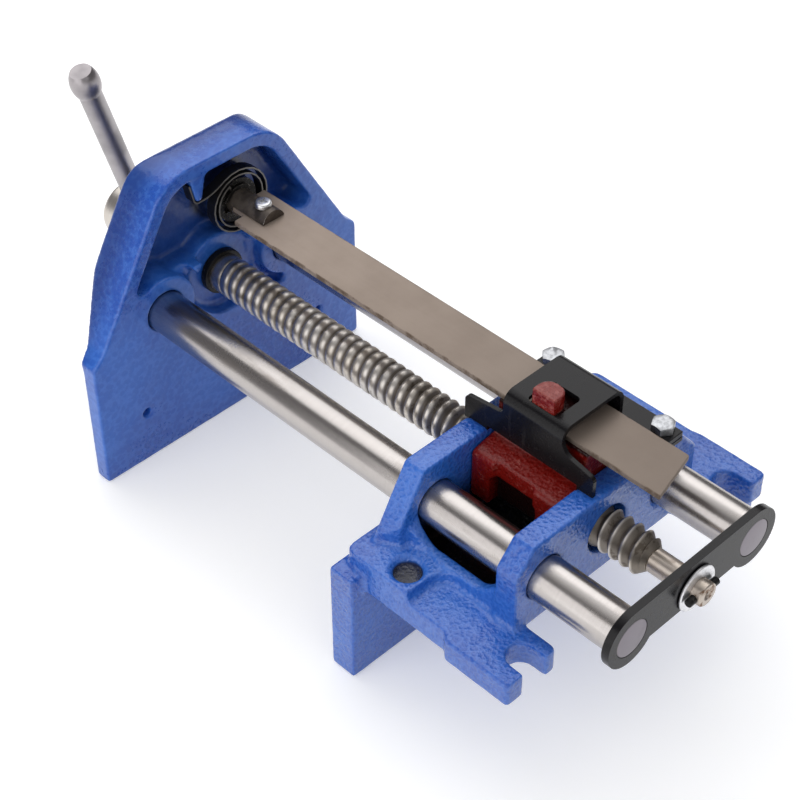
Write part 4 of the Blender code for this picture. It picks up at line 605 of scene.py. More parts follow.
# Guide rods
# Two round bars of ground steel on which the front jaw slides. They are seated in the front jaw, and a
# turned spigot at the rear end of each is riveted into the end plate.
ROD_EDGE = 0.0009
SPIGOT_RADIUS = 0.0096
SPIGOT_LENGTH = 0.0043
MACHINED_CREASE = radians(32)
ROD_END_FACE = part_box("guide_rod_left")[1][1]
ROD_END_SPAN = (ROD_END_FACE - 0.0002, ROD_END_FACE - 0.0001)
ROD_PALE = (0.50, 0.47, 0.455)
ROD_GREY = (0.36, 0.335, 0.32)
ROD_STAIN = (0.23, 0.195, 0.165)
ROD_END = (0.22, 0.20, 0.225)


def along_y(x, z):
    """Turns a shape made about local Z to lie about a line along Y."""
    return Matrix.Translation((x, 0, z)) @ Matrix.Rotation(-pi / 2, 4, "X")


steel = Finish("ground_steel", metallic=1.0)
rings = steel.streaks((30, 2600, 30))
stain = steel.streaks((70, 14, 70), detail=4).between(0.5, 0.75)
rod_end = steel.along(Y).between(*ROD_END_SPAN)
ground = steel.mix(stain, steel.mix(rings, ROD_PALE, ROD_GREY, most=0.5), ROD_STAIN, most=0.7)
steel.set(
    base_color=steel.mix(rod_end, ground, ROD_END),
    roughness=0.2 + rings * 0.1 + stain * 0.12 + rod_end * 0.1,
)
steel.bump(rings, distance=0.00001)
for side_name in ("left", "right"):
    node = f"guide_rod_{side_name}"
    middle = middle_of(node)
    low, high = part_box(node)
    radius = (high[0] - low[0]) / 2
    shoulder = high[1] - SPIGOT_LENGTH
    rod = lathe(node, [
        (0, low[1]), (radius, low[1], ROD_EDGE), (radius, shoulder, ROD_EDGE), (SPIGOT_RADIUS, shoulder),
        (SPIGOT_RADIUS, high[1], ROD_EDGE / 2), (0, high[1]),
    ], along_y(middle.x, middle.z))
    place_piece(f"{node}_steel", rod, steel, "front_body", [node], MACHINED_CREASE)

# End plate
# A blanked steel plate that ties the rods and carries the rear end of the screw, with its edges broken and
# a thin coat of satin black.
PRESSED_EDGE = 0.0005
EDGE_ANGLE = radians(35)
FLAT_ANGLE = radians(1)
BLACK_COAT = (0.005, 0.0045, 0.0055)
BLACK_RUBBED = (0.035, 0.033, 0.034)


def eased(node, width, edge_material=-1):
    """The node's shape with its flat faces whole again and its edges broken, which may have their own
    material."""
    mesh = copy_of(node)
    work = bmesh.new()
    work.from_mesh(mesh)
    bmesh.ops.dissolve_limit(work, angle_limit=FLAT_ANGLE, verts=work.verts, edges=work.edges)
    work.to_mesh(mesh)
    work.free()
    bevel = {
        "width": width, "segments": 3, "limit_method": "ANGLE", "angle_limit": EDGE_ANGLE,
        "use_clamp_overlap": True, "material": edge_material,
    }
    mesh.materials.append(None)
    if edge_material > 0:
        mesh.materials.append(None)
    mesh.shade_smooth()
    return settled(draft_of(node, mesh, ("BEVEL", bevel), ("WEIGHTED_NORMAL", {"weight": 100})))


black = Finish("satin_black", metallic=0.0, specular_ior_level=0.24)
dust = black.speckle(300).between(0.55, 0.8)
rub = black.streaks((40, 260, 40), detail=4).between(0.6, 0.78)
black.set(
    base_color=black.mix(rub * 0.4 + dust * 0.2, BLACK_COAT, BLACK_RUBBED),
    roughness=0.25 + dust * 0.12,
)
black.bump(black.noise(scale=900, detail=2), distance=0.00004)
plate = eased("end_plate", PRESSED_EDGE)
place_piece("end_plate_sheet", plate, black, "front_body", ["end_plate"])

# Main screw
# One bar of steel with a rolled thread, shallow and round at the front and deep at the rear, a journal for
# the end plate, and a cross-drilled head for the tommy bar. It is oiled, and its roots are darkened: dirt and
# painted shade.
THREAD_LEAD = 0.006
THREAD_CREST_RADIUS = 0.0105
THREAD_START = JAW_FACE_Y - 0.0022
THREAD_END = JAW_FACE_Y + 0.282
SHALLOW_END = JAW_FACE_Y + 0.09
DEEP_START = JAW_FACE_Y + 0.2
SHALLOW_DEPTH = 0.0012
DEEP_DEPTH = 0.0028
SHALLOW_SHARPNESS = 2.6
DEEP_SHARPNESS = 1.1
CREST_SHARE = 0.45
RUN_OUT = 0.012
REAR_CONE_LENGTH = 0.0048
SPARE_LEADS = 3
ROWS_A_LEAD = 28
COLUMNS = 52
HEAD_LENGTH = 0.035
HEAD_EDGE = 0.0028
SHOULDER_RADIUS = 0.0135
SHOULDER_END = JAW_FACE_Y - 0.0333
SHANK_RADIUS = 0.0102
JOURNAL_RADIUS = 0.006
JOURNAL_EDGE = 0.0008
JOURNAL_GROOVE = 0.0007
SHANK_OVERLAP = 0.0005
CENTRE_HOLE_RADIUS = 0.0026
CENTRE_HOLE_DEPTH = 0.0038
HANDLE_RADIUS = 0.006
HANDLE_HOLE_RADIUS = 0.0064
HANDLE_LEAN = radians(15.6)
AXIS = middle_of("screw_collar")
SCREW_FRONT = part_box("main_screw")[0][1]
SCREW_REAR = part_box("main_screw")[1][1]
HEAD_RADIUS = 0.016
SCREW_LINE = along_y(AXIS.x, AXIS.z)
HANDLE_PLACE = Matrix.Translation((AXIS.x, SCREW_FRONT + HEAD_LENGTH / 2, AXIS.z))
HANDLE_PLACE = HANDLE_PLACE @ Matrix.Rotation(HANDLE_LEAN, 4, "Y")
ROOT_DEPTHS = (0.0002, 0.0010)
JOURNAL_START = (THREAD_END - 0.0002, THREAD_END + 0.0002)
SHANK_END = (THREAD_START - 0.001, THREAD_START)
RUST_PLACES = (THREAD_END + 0.004, THREAD_END + 0.018)
SCREW_PALE = (0.74, 0.70, 0.66)
SCREW_GREY = (0.50, 0.47, 0.44)
SCREW_TAN = (0.52, 0.45, 0.35)
JOURNAL_TAN = (0.42, 0.35, 0.29)
DIRT_AND_SHADE_COLOUR = (0.16, 0.135, 0.11)
RUST_COLOUR = (0.16, 0.075, 0.03)


class Grower(Nodes):
    """A tree of Geometry Nodes with named sizes, which makes one plain mesh."""

    def __init__(self, name, **sizes):
        super().__init__(bpy.data.node_groups.new(name, "GeometryNodeTree"))
        self.tree.interface.new_socket("Geometry", in_out="OUTPUT", socket_type="NodeSocketGeometry")
        self.sizes = {}
        for label, value in sizes.items():
            kind = "NodeSocketInt" if isinstance(value, int) else "NodeSocketFloat"
            socket = self.tree.interface.new_socket(label, in_out="INPUT", socket_type=kind)
            self.sizes[socket.identifier] = value
        self.given = self.tree.nodes.new("NodeGroupInput")

    def size(self, label):
        return Wire(self, self.given.outputs[label])

    def grow(self, geometry, material):
        """Realises the geometry, gives it its material and returns it as a plain mesh."""
        whole = self.node("GeometryNodeRealizeInstances", {}, {0: geometry})
        painted = self.node("GeometryNodeSetMaterial", {}, {0: whole, "Material": material})
        self.join(painted, self.tree.nodes.new("NodeGroupOutput").inputs[0])
        name = self.tree.name
        draft = draft_of(name, bpy.data.meshes.new(name), ("NODES", {"node_group": self.tree}))
        for identifier, value in self.sizes.items():
            draft.modifiers[0][identifier] = value
        return settled(draft)


def rolled_thread(material):
    """A grid wound round the axis and sheared by one lead a turn, so its rows follow the thread."""
    leads = int((THREAD_END - THREAD_START) / THREAD_LEAD) + SPARE_LEADS
    tree = Grower(
        "rolled_thread", start=THREAD_START, end=THREAD_END, lead=THREAD_LEAD, leads=leads,
        crest_radius=THREAD_CREST_RADIUS, crest_share=CREST_SHARE,
        shallow_depth=SHALLOW_DEPTH, deep_depth=DEEP_DEPTH,
        shallow_sharpness=SHALLOW_SHARPNESS, deep_sharpness=DEEP_SHARPNESS, run_out=RUN_OUT,
        rear_cone_length=REAR_CONE_LENGTH, core_radius=SHANK_RADIUS, journal_radius=JOURNAL_RADIUS,
    )
    sizes = {0: 1, 1: 1, 2: COLUMNS + 1, 3: leads * ROWS_A_LEAD + 1}
    grid = tree.node("GeometryNodeMeshGrid", {}, sizes)
    place = tree.node("GeometryNodeInputPosition", {}, {})
    lead, crest, share = (tree.size(label) for label in ("lead", "crest_radius", "crest_share"))
    start, end, journal_radius = (tree.size(label) for label in ("start", "end", "journal_radius"))
    turn = tree.split(place, X) + 0.5
    climb = (tree.split(place, Y) + 0.5) * tree.size("leads")
    free = start + (climb + turn - SPARE_LEADS / 2) * lead
    height = free.math("MAXIMUM", start).math("MINIMUM", end)
    deepness = height.between(SHALLOW_END, DEEP_START)
    phase = (climb + 0.5).math("FRACT")
    front_fall = ((share - phase) / share).math("MAXIMUM", 0)
    rear_fall = ((phase - share) / (1 - share)).math("MAXIMUM", 0)
    sharpness, depth = (
        shallow + deepness * (tree.size(f"deep_{label}") - shallow)
        for label, shallow in ((label, tree.size(f"shallow_{label}")) for label in ("sharpness", "depth"))
    )
    thread = crest - ((front_fall + rear_fall) ** sharpness) * depth
    before = 1 - free.between(start, start + tree.size("run_out"))
    sunk = thread + (tree.size("core_radius") - thread) * before
    cone = journal_radius + (crest - journal_radius) * (end - height) / tree.size("rear_cone_length")
    radius = sunk.math("MINIMUM", cone)
    angle = turn * (2 * pi)
    x = angle.math("COSINE") * radius + AXIS.x
    z = AXIS.z - angle.math("SINE") * radius
    wound = tree.node("ShaderNodeCombineXYZ", {}, {0: x, 1: height, 2: z})
    placed = tree.node("GeometryNodeSetPosition", {}, {0: grid, 2: wound})
    merged = tree.node("GeometryNodeMergeByDistance", {}, {0: placed, 2: WELD_DISTANCE * 2})
    return tree.grow(merged, material)


screw_steel = Finish("oiled_screw_steel", metallic=1.0)
from_axis = screw_steel.length(screw_steel.stretched((1, 0, 1), move=(-AXIS.x, 0, -AXIS.z)))
rearward = screw_steel.along(Y)
# Painted shade with dirt: the thread darkens from below its crest into the roots and lower flanks.
root_dirt_and_shade = (THREAD_CREST_RADIUS - from_axis).between(*ROOT_DEPTHS)
plain_end = rearward.between(*JOURNAL_START)
plain_front = 1 - rearward.between(*SHANK_END)
patch = screw_steel.noise(scale=150, detail=5, roughness=0.65)
lines = screw_steel.streaks((60, 1900, 60))
tan_film = screw_steel.noise(scale=55).between(0.42, 0.62)
dirt_and_root_shade = (root_dirt_and_shade * 0.8 + patch.between(0.55, 0.72) * 0.55).math("MINIMUM", 1)
dirt_and_root_shade = dirt_and_root_shade * (1 - plain_end) * (1 - plain_front)
rust = screw_steel.speckle(210).between(0.5, 0.66)
rust = plain_end * rust * rearward.between(*RUST_PLACES)
screw_colour = screw_steel.mix(lines, SCREW_PALE, SCREW_GREY)
screw_colour = screw_steel.mix(tan_film, screw_colour, SCREW_TAN, most=0.4)
screw_colour = screw_steel.mix(plain_end, screw_colour, JOURNAL_TAN, most=0.6)
screw_colour = screw_steel.mix(dirt_and_root_shade, screw_colour, DIRT_AND_SHADE_COLOUR)
screw_steel.set(
    base_color=screw_steel.mix(rust, screw_colour, RUST_COLOUR, most=0.8),
    roughness=0.31 + dirt_and_root_shade * 0.2 + lines * 0.08 + rust * 0.3,
)
screw_steel.bump(patch * 0.4 * (1 - plain_end) + lines, distance=0.00003)

thread = joined("thread", rolled_thread(screw_steel.material))
head_rear = SCREW_FRONT + HEAD_LENGTH
head = lathe("screw_head", [
    (0, SCREW_FRONT), (HEAD_RADIUS, SCREW_FRONT, HEAD_EDGE), (HEAD_RADIUS, head_rear, HEAD_EDGE),
    (SHOULDER_RADIUS, head_rear), (SHOULDER_RADIUS, SHOULDER_END, JOURNAL_EDGE), (SHANK_RADIUS, SHOULDER_END),
    (SHANK_RADIUS, THREAD_START + SHANK_OVERLAP), (0, THREAD_START + SHANK_OVERLAP),
], SCREW_LINE)
hole = lathe("handle_hole", [
    (0, -HEAD_RADIUS * 2), (HANDLE_HOLE_RADIUS, -HEAD_RADIUS * 2), (HANDLE_HOLE_RADIUS, HEAD_RADIUS * 2),
    (0, HEAD_RADIUS * 2),
], HANDLE_PLACE, ROUND_STEPS // 2)
journal = lathe("journal", [
    (0, THREAD_END - RUN_OUT), (JOURNAL_RADIUS - JOURNAL_GROOVE, THREAD_END - RUN_OUT),
    (JOURNAL_RADIUS - JOURNAL_GROOVE, THREAD_END + JOURNAL_GROOVE),
    (JOURNAL_RADIUS, THREAD_END + JOURNAL_GROOVE), (JOURNAL_RADIUS, SCREW_REAR, JOURNAL_EDGE),
    (CENTRE_HOLE_RADIUS, SCREW_REAR), (0, SCREW_REAR - CENTRE_HOLE_DEPTH),
], SCREW_LINE)
screw = joined("main_screw", thread, drilled(head, hole), journal)
place_piece("main_screw_steel", screw, screw_steel, "screw", ["main_screw"], MACHINED_CREASE)

# Collar, washer and pin of the screw
# A blackened thrust collar behind the jaw's boss, and at the rear end a zinc plated washer and a black
# spring pin that hold the journal in the end plate.
TRIM_EDGE = 0.0006
COLLAR_BORE = 0.0103
COLLAR_RADIUS = 0.0124
COLLAR_LENGTH = 0.004
WASHER_BORE = 0.0062
WASHER_RADIUS = 0.0118
WASHER_THICKNESS = 0.0015
PIN_EDGE = 0.0004
BLACKENED = (0.012, 0.0115, 0.011)
BLACKENED_SCUFF = (0.12, 0.11, 0.10)
blackened = Finish("blackened_steel", metallic=0.6)
scuff = blackened.speckle(420).between(0.58, 0.72)
blackened.set(
    base_color=blackened.mix(scuff, BLACKENED, BLACKENED_SCUFF, most=0.8),
    roughness=0.34 + blackened.noise(scale=90) * 0.15,
)
blackened.bump(blackened.noise(scale=800), distance=0.00006)


def ring(node, bore, radius, length):
    """A turned ring about the screw that starts where its node does."""
    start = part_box(node)[0][1]
    end = start + length
    return lathe(node, [
        (bore, start + length / 2), (bore, start), (radius, start, TRIM_EDGE), (radius, end, TRIM_EDGE),
        (bore, end),
    ], SCREW_LINE, closed=True)


def plated(name, bright, dull, roughness):
    """Zinc plate, with the faint spangle and dull patches of a barrel-plated part."""
    plate = Finish(name, metallic=1.0)
    spangle = plate.speckle(500)
    zinc = plate.mix(spangle.between(0.4, 0.7), bright, dull, most=0.7)
    plate.set(base_color=zinc, roughness=roughness + spangle * 0.2)
    plate.bump(spangle, distance=0.00004)
    return plate


washer_zinc = plated("bright_zinc", bright=(0.80, 0.80, 0.82), dull=(0.55, 0.55, 0.57), roughness=0.3)
collar = ring("screw_collar", COLLAR_BORE, COLLAR_RADIUS, COLLAR_LENGTH)
place_piece(
    "screw_collar_steel", collar, blackened, "screw", ["screw_collar"], MACHINED_CREASE,
)
washer = ring("end_washer", WASHER_BORE, WASHER_RADIUS, WASHER_THICKNESS)
place_piece("end_washer_zinc", washer, washer_zinc, "screw", ["end_washer"], MACHINED_CREASE)
pin_low, pin_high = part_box("end_pin")
pin_radius = (pin_high[1] - pin_low[1]) / 2
pin_line = Matrix.Translation(middle_of("end_pin")) @ Matrix.Rotation(pi / 2, 4, "Y")
pin_half = (pin_high[0] - pin_low[0]) / 2
pin = lathe("end_pin", [
    (0, -pin_half), (pin_radius, -pin_half, PIN_EDGE), (pin_radius, pin_half, PIN_EDGE), (0, pin_half),
], pin_line, ROUND_STEPS // 2)
place_piece("end_pin_steel", pin, blackened, "screw", ["end_pin"], MACHINED_CREASE)

# Tommy bar
# A round steel bar that slides in the head of the screw. Its upper end is upset into a knob, and a cap is
# fitted over the lower end after the bar is through. Both are bright and slightly brushed.
HANDLE_UPPER = 0.1078
HANDLE_LOWER = 0.0835
KNOB_RADIUS = 0.0078
KNOB_LENGTH = 0.0145
KNOB_FLAT_SHARE = 0.72
KNOB_STEPS = 14
CAP_BORE_DEPTH = 0.008
CAP_LIP = 0.0006
HANDLE_BRIGHT = (0.37, 0.345, 0.355)
HANDLE_HAZE = (0.24, 0.225, 0.235)
handle_steel = Finish("brushed_handle_steel", metallic=1.0)
brush = handle_steel.streaks((1500, 1500, 60), turn=(0, -HANDLE_LEAN, 0))
haze = handle_steel.noise(scale=70).between(0.4, 0.7)
handle_steel.set(
    base_color=handle_steel.mix(haze, HANDLE_BRIGHT, HANDLE_HAZE, most=0.6),
    roughness=0.26 + brush * 0.1 + haze * 0.1,
)
handle_steel.bump(brush, distance=0.000012)


def knob(end):
    """The line of a knob from its neck on the bar to its flat end."""
    neck = -atan2(sqrt(KNOB_RADIUS**2 - HANDLE_RADIUS**2), HANDLE_RADIUS)
    tip = atan2(sqrt(1 - KNOB_FLAT_SHARE**2), KNOB_FLAT_SHARE)
    unit = KNOB_LENGTH / (sin(tip) - sin(neck))
    middle = end - unit * sin(tip)
    angles = [neck + (tip - neck) * step / KNOB_STEPS for step in range(KNOB_STEPS + 1)]
    return [(KNOB_RADIUS * cos(angle), middle + unit * sin(angle)) for angle in angles]


cap_mouth = -HANDLE_LOWER + KNOB_LENGTH
bar_end = cap_mouth - CAP_BORE_DEPTH
bar = lathe("handle_bar", [(0, bar_end), (HANDLE_RADIUS, bar_end)] + knob(HANDLE_UPPER) + [(0, HANDLE_UPPER)],
            HANDLE_PLACE)
place_piece("tommy_bar_steel", bar, handle_steel, "handle", ["handle_bar"], MACHINED_CREASE)
cap_line = [(radius, -height) for radius, height in reversed(knob(HANDLE_LOWER))]
cap_line = [point for point in cap_line if point[0] > HANDLE_RADIUS + CAP_LIP and point[1] < cap_mouth]
cap = lathe("handle_cap", [(0, -HANDLE_LOWER)] + cap_line + [
    (HANDLE_RADIUS + CAP_LIP, cap_mouth), (HANDLE_RADIUS + CAP_LIP / 3, cap_mouth),
    (HANDLE_RADIUS + CAP_LIP / 3, bar_end), (0, bar_end),
], HANDLE_PLACE)
place_piece(
    "tommy_bar_cap_steel", cap, handle_steel, "handle", ["handle_cap"], MACHINED_CREASE,
)

# Half nut
# A rough iron casting, dipped in red, that hangs on the release bar. Its yoke goes over the bar, its peg
# stands up through the saddle's slot, and its threaded lip closes on one side of the screw.
NUT_VOXEL = 0.00045
NUT_SOFTENING = 5
NUT_BORE_RADIUS = 0.01072
NUT_FACES = 120000
NUT_FILLET = 0.0006
NUT_WAVE_HEIGHT = 0.0003
NUT_OVERRUN = 0.01
PEG_FOOT_HEIGHTS = (0.1455, 0.1462)
RIDGE_HEIGHTS = (0.1065, 0.112)
# Heights of the painted shade under the saddle's roof.
YOKE_FLOOR_HEIGHTS = (0.1235, 0.1255)
YOKE_ROOF_HEIGHTS = (0.1372, 0.1382)
# Bounds of the painted shade in the recess below the ridge.
RECESS_FRONT = (nut_low[1] + 0.0105, nut_low[1] + 0.0115)
RECESS_REAR = (nut_high[1] - 0.0145, nut_high[1] - 0.0135)
RECESS_TOP = (0.0955, 0.0985)
RECESS_NEAR = (nut_high[0] - 0.0055, nut_high[0] - 0.0025)
RECESS_FAR = (0.0, 0.004)
RED_DARK = (0.105, 0.0025, 0.0015)
RED_PALE = (0.21, 0.007, 0.004)
# Worn red, also used for the painted light above the ridge.
RED_WORN_AND_LIT = (0.40, 0.13, 0.11)
RED_PEG = (0.30, 0.09, 0.082)
RED_SHADE = (0.008, 0.002, 0.002)
RECESS_SHADE = (0.004, 0.002, 0.002)
red = Finish("red_dipped_casting", coat_weight=0.25, coat_roughness=0.07, specular_ior_level=0.2)
sideways, rearward, upward = (red.along(axis) for axis in (X, Y, Z))
grit = red.noise(scale=900, detail=3, roughness=0.6)
crust = grit * 0.55 + red.cells(scale=560).between(0, 0.8) * 0.45
wear = red.noise(scale=200, detail=5, roughness=0.7).between(0.5, 0.68) * crust.between(0.55, 0.75)
# Painted light: above the ridge the upper faces are lightened in patches of the worn colour.
lit_top_patches = upward.between(*RIDGE_HEIGHTS) * red.noise(scale=420, detail=3, roughness=0.7).between(0.5, 0.62)
# Painted shade: the nut goes near-black between these heights, under the saddle's roof.
painted_roof_shade = upward.between(*YOKE_FLOOR_HEIGHTS) * (1 - upward.between(*YOKE_ROOF_HEIGHTS))
# Painted shade: near-black in the recess under the ridge, between the end blocks.
painted_recess_shade = (1 - sideways.between(*RECESS_NEAR)) * sideways.between(*RECESS_FAR) * (
    1 - upward.between(*RECESS_TOP)) * rearward.between(*RECESS_FRONT) * (1 - rearward.between(*RECESS_REAR))
red_colour = red.mix(grit, RED_DARK, RED_PALE)
red_colour = red.mix((wear * 0.45 + lit_top_patches * 0.45).math("MINIMUM", 1), red_colour, RED_WORN_AND_LIT)
red_colour = red.mix(painted_roof_shade, red_colour, RED_SHADE, most=0.95)
red_colour = red.mix(upward.between(*PEG_FOOT_HEIGHTS) * (0.35 + grit * 0.4), red_colour, RED_PEG)
red.set(base_color=red.mix(painted_recess_shade, red_colour, RECESS_SHADE, most=0.95), roughness=0.2 + grit * 0.2)
red.bump(crust + red.noise(scale=150, detail=2) * 0.6, distance=0.00055)
nut_bore = lathe("nut_bore", [
    (0, nut_low[1] - NUT_OVERRUN), (NUT_BORE_RADIUS, nut_low[1] - NUT_OVERRUN),
    (NUT_BORE_RADIUS, nut_high[1] + NUT_OVERRUN), (0, nut_high[1] + NUT_OVERRUN),
], SCREW_LINE)
nut = drilled(cast("half_nut", NUT_VOXEL, NUT_SOFTENING, NUT_FACES, NUT_FILLET, NUT_WAVE_HEIGHT), nut_bore)
place_piece("half_nut_casting", nut, red, "nut", ["half_nut"])

# Saddle bracket
# Steel sheet folded over the release bar, with two ears that drop in notches of the casting on one side and
# a flange under the keeper strip on the other. It is pressed, then coated satin black.
BRACKET_EDGE = 0.0004
bracket = eased("saddle_bracket", BRACKET_EDGE)
place_piece("saddle_bracket_sheet", bracket, black, "rear_body", ["saddle_bracket"])

# Keeper strip and its bolts
# A flat black strip clamps the saddle's flange to the two cross walls, under two hexagon head bolts with
# bright zinc plate.
strip = eased("keeper_strip", BRACKET_EDGE)
place_piece("keeper_strip_steel", strip, black, "rear_body", ["keeper_strip"])
BOLT_HEAD_WIDTH = 0.01
BOLT_HEAD_HEIGHT = 0.004
BOLT_SHANK_RADIUS = 0.00285
BOLT_CROWN_SIDES = 48
BOLT_SEED = 7
CROWN_TOP_SHARE = 0.05
CROWN_FOOT_SHARE = 1.7
bolt_zinc = plated("dull_zinc", bright=(0.52, 0.53, 0.55), dull=(0.20, 0.20, 0.21), roughness=0.3)


def hexagon_bolts(places, underside, end, material):
    """Hexagon prisms rounded off by a cone, each with its shank, set on a line of points."""
    first, last = places
    tree = Grower(
        "hexagon_bolts", head_radius=BOLT_HEAD_WIDTH / 2 / cos(pi / 6), head_height=BOLT_HEAD_HEIGHT,
        crown_radius=BOLT_HEAD_WIDTH / 2, shank_radius=BOLT_SHANK_RADIUS, shank_length=underside - end,
        count=2, seed=BOLT_SEED,
    )
    head_radius, head_height = tree.size("head_radius"), tree.size("head_height")
    prism = tree.node("GeometryNodeMeshCylinder", {}, {
        "Vertices": 6, "Radius": head_radius, "Depth": head_height,
    })
    crown = tree.node("GeometryNodeMeshCone", {}, {
        "Vertices": BOLT_CROWN_SIDES, "Radius Top": tree.size("crown_radius") - head_height * CROWN_TOP_SHARE,
        "Radius Bottom": tree.size("crown_radius") + head_height * CROWN_FOOT_SHARE, "Depth": head_height,
    })
    crown = tree.node("GeometryNodeTransform", {}, {
        0: crown, "Translation": tree.node("ShaderNodeCombineXYZ", {}, {2: head_height * -0.5}),
    })
    head = tree.node("GeometryNodeMeshBoolean", {"operation": "INTERSECT", "solver": "EXACT"}, {1: prism})
    tree.join(crown, head.socket.node.inputs[1])
    shank_length = tree.size("shank_length")
    shank = tree.node("GeometryNodeMeshCylinder", {}, {
        "Vertices": BOLT_CROWN_SIDES, "Radius": tree.size("shank_radius"),
        "Depth": shank_length + head_height * 0.5,
    })
    drop = tree.node("ShaderNodeCombineXYZ", {}, {2: shank_length * -0.5 - head_height * 0.25})
    shank = tree.node("GeometryNodeTransform", {}, {0: shank, "Translation": drop})
    bolt = tree.node("GeometryNodeJoinGeometry", {}, {0: head})
    tree.join(shank, bolt.socket.node.inputs[0])
    line = tree.node("GeometryNodeMeshLine", {"mode": "END_POINTS"}, {
        "Count": tree.size("count"), "Start Location": first, "Offset": last,
    })
    sockets = {"Seed": tree.size("seed"), 3: pi / 3}
    lean = tree.node("FunctionNodeRandomValue", {"data_type": "FLOAT"}, sockets, 1)
    turn = tree.node("ShaderNodeCombineXYZ", {}, {2: lean})
    bolts = tree.node("GeometryNodeInstanceOnPoints", {}, {0: line, "Instance": bolt, "Rotation": turn})
    return tree.grow(bolts, material)


bolt_low, bolt_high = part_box("keeper_bolt_front")
bolt_seat = bolt_high[2] - BOLT_HEAD_HEIGHT / 2
bolt_places = [(*middle_of(f"keeper_bolt_{end}").to_2d(), bolt_seat) for end in ("front", "rear")]
bolts = hexagon_bolts(bolt_places, bolt_high[2] - BOLT_HEAD_HEIGHT, bolt_low[2], bolt_zinc.material)
place_piece(
    "keeper_bolts_zinc", bolts, bolt_zinc, "rear_body", ["keeper_bolt_front", "keeper_bolt_rear"],
    MACHINED_CREASE,
)

# Release bar
# A flat bar of bright rolled steel that carries the lever's turn from the jaw to the half nut. Its faces
# have lengthwise rolling marks and a little rust at the edges.
BAR_EDGE = 0.00045
BAR_END_SLANT = 0.25
BAR_END_ROUND = 0.004
BAR_PALE = (0.35, 0.285, 0.238)
BAR_GREY = (0.27, 0.214, 0.176)
BAR_REAR = (0.195, 0.157, 0.130)
BAR_RUST = (0.10, 0.065, 0.04)
BAR_TONE_PAST = 0.02
RUST_DEPTHS = (0.0009, 0.0002)
bar_steel = Finish("rolled_bar_steel", metallic=0.55)
bar_middle = middle_of("release_bar")
bar_low, bar_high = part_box("release_bar")
bar_half = (bar_high[0] - bar_low[0]) / 2
from_middle = bar_steel.split(bar_steel.stretched((1, 1, 1), move=(-bar_middle.x, 0, 0)), X).math("ABSOLUTE")
edge = from_middle.between(*(bar_half - depth for depth in RUST_DEPTHS))
rolling = bar_steel.streaks((420, 9, 420), roughness=0.55)
cloud = bar_steel.noise(scale=38, detail=4, roughness=0.6)
rust = edge * bar_steel.speckle(130).between(0.4, 0.62)
plain = bar_steel.mix(rolling * 0.3 + cloud.between(0.35, 0.7) * 0.4, BAR_PALE, BAR_GREY)
rearness = bar_steel.along(Y).between(bar_low[1], bar_high[1] + BAR_TONE_PAST)
plain = bar_steel.mix(rearness, plain, BAR_REAR, most=0.75)
bar_steel.set(
    base_color=bar_steel.mix(rust, plain, BAR_RUST, most=0.75), roughness=0.52 + cloud * 0.1 + rust * 0.15,
)
bar_steel.bump(rolling + bar_steel.noise(scale=700, detail=2) * 0.3, distance=0.00003)
bar_mesh = eased("release_bar", BAR_EDGE)
for point in bar_mesh.vertices:
    if point.co.y > bar_high[1] - BAR_END_ROUND:
        point.co.y += (point.co.x - bar_middle.x) * BAR_END_SLANT
place_piece("release_bar_steel", bar_mesh, bar_steel, "release", ["release_bar"])

# Release spindle, hub and tongue screw
# The round spindle goes through the jaw and is milled to a half-round tongue that lies on the bar. A hub
# with two dogs on it turns the spring, and a cross-recessed screw holds tongue and bar together.
SPINDLE_EDGE = 0.00045
RUBBED_DARK, RUBBED_BRIGHT = (0.22, 0.20, 0.18), (0.70, 0.67, 0.62)
BROWN_DARK, BROWN_PALE = (0.055, 0.045, 0.038), (0.15, 0.125, 0.105)
SCALE_BLACK, SCALE_GREY = (0.006, 0.0055, 0.005), (0.16, 0.15, 0.135)
rubbed = Finish("rubbed_edge_steel", metallic=0.9)
wear = rubbed.speckle(260).between(0.42, 0.6)
rubbed.set(base_color=rubbed.mix(wear, RUBBED_DARK, RUBBED_BRIGHT), roughness=0.3)
brown_steel = Finish("browned_steel", metallic=0.75)
bloom = brown_steel.noise(scale=120, detail=4, roughness=0.6)
brown_steel.set(
    base_color=brown_steel.mix(bloom.between(0.35, 0.65), BROWN_DARK, BROWN_PALE),
    roughness=0.4 + bloom * 0.15,
)
brown_steel.bump(bloom + brown_steel.noise(scale=900, detail=2) * 0.4, distance=0.00006)
forged = Finish("forged_black_steel", metallic=0.5)
scale_grain = forged.noise(scale=850, detail=3, roughness=0.7)
forged.set(
    base_color=forged.mix(scale_grain.between(0.58, 0.7), SCALE_BLACK, SCALE_GREY),
    roughness=0.26 + scale_grain * 0.2,
)
forged.bump(scale_grain, distance=0.0003)
for node, finish in (("release_spindle", brown_steel), ("spring_hub", forged)):
    turned = eased(node, SPINDLE_EDGE, edge_material=1)
    place_piece(f"{node}_steel", turned, finish, "release", [node], edge_finish=rubbed)
SCREW_HEAD_RADIUS = 0.0043
SCREW_HEAD_HEIGHT = 0.0026
SCREW_HEAD_ROUND = 0.0011
SCREW_CROSS_LENGTH = 0.0048
SCREW_CROSS_WIDTH = 0.0011
SCREW_CROSS_DEPTH = 0.0013
SCREW_CROSS_TURN = radians(28)
SCREW_SHANK_RADIUS = 0.0018
SCREW_HEAD_SINK = 0.0018
screw_low, screw_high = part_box("tongue_screw")
screw_seat = screw_high[2] - SCREW_HEAD_SINK
screw_place = Matrix.Translation((*middle_of("tongue_screw").to_2d(), 0))
head_top = screw_seat + SCREW_HEAD_HEIGHT
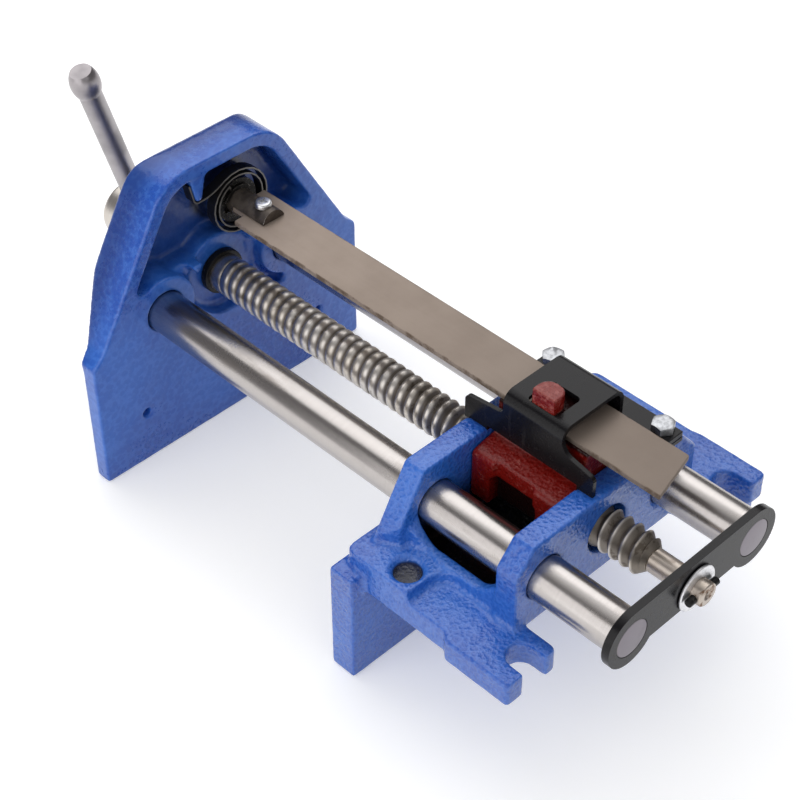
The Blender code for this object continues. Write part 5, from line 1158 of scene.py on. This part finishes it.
pan = lathe("tongue_screw", [
    (0, screw_low[2]), (SCREW_SHANK_RADIUS, screw_low[2]), (SCREW_SHANK_RADIUS, screw_seat),
    (SCREW_HEAD_RADIUS, screw_seat), (SCREW_HEAD_RADIUS, head_top, SCREW_HEAD_ROUND), (0, head_top),
], screw_place, ROUND_STEPS // 2)
for quarter in (0, 1):
    cross = bpy.data.meshes.new("cross")
    work = bmesh.new()
    cross_turn = Matrix.Rotation(SCREW_CROSS_TURN + quarter * pi / 2, 4, "Z")
    cross_size = Matrix.Diagonal((SCREW_CROSS_LENGTH, SCREW_CROSS_WIDTH, SCREW_CROSS_DEPTH * 2, 1))
    cross_place = screw_place @ Matrix.Translation((0, 0, head_top)) @ cross_turn @ cross_size
    bmesh.ops.create_cube(work, size=1, matrix=cross_place)
    work.to_mesh(cross)
    work.free()
    pan = drilled(pan, cross)
screw_zinc = plated("screw_zinc", bright=(0.75, 0.75, 0.76), dull=(0.45, 0.45, 0.46), roughness=0.2)
place_piece("tongue_screw_zinc", pan, screw_zinc, "release", ["tongue_screw"], MACHINED_CREASE)

# Torsion spring
# A flat strip of blued spring steel wound on edge round the hub and hooked on the jaw's tooth, so the lever
# springs back. Its sheared edges are brighter than its faces.
SPRING_EDGE = 0.0002
SPRING_BLUED = (0.022, 0.021, 0.022)
SPRING_SHEARED = (0.20, 0.19, 0.175)
spring_steel = Finish("blued_spring_steel", metallic=0.7)
SHEARED_DEPTHS = (0.0005, 0.0001)
spring_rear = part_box("torsion_spring")[1][1]
sheared = spring_steel.along(Y).between(*(spring_rear - depth for depth in SHEARED_DEPTHS))
nap = spring_steel.speckle(500)
spring_steel.set(
    base_color=spring_steel.mix(sheared * (0.4 + nap * 0.6), SPRING_BLUED, SPRING_SHEARED),
    roughness=0.3 + nap * 0.15,
)
spring_steel.bump(nap, distance=0.00003)
spring = eased("torsion_spring", SPRING_EDGE)
place_piece("torsion_spring_strip", spring, spring_steel, "front_body", ["torsion_spring"])

# Release lever and its pin
# The lever that the hand pulls to open the half nut: a tapered arm with a round boss, cross pinned to the
# spindle in front of the jaw. It is blackened like the spindle.
LEVER_EDGE = 0.0011
for node, width in (("release_lever", LEVER_EDGE), ("lever_pin", PIN_EDGE)):
    place_piece(f"{node}_steel", eased(node, width), blackened, "release", [node])
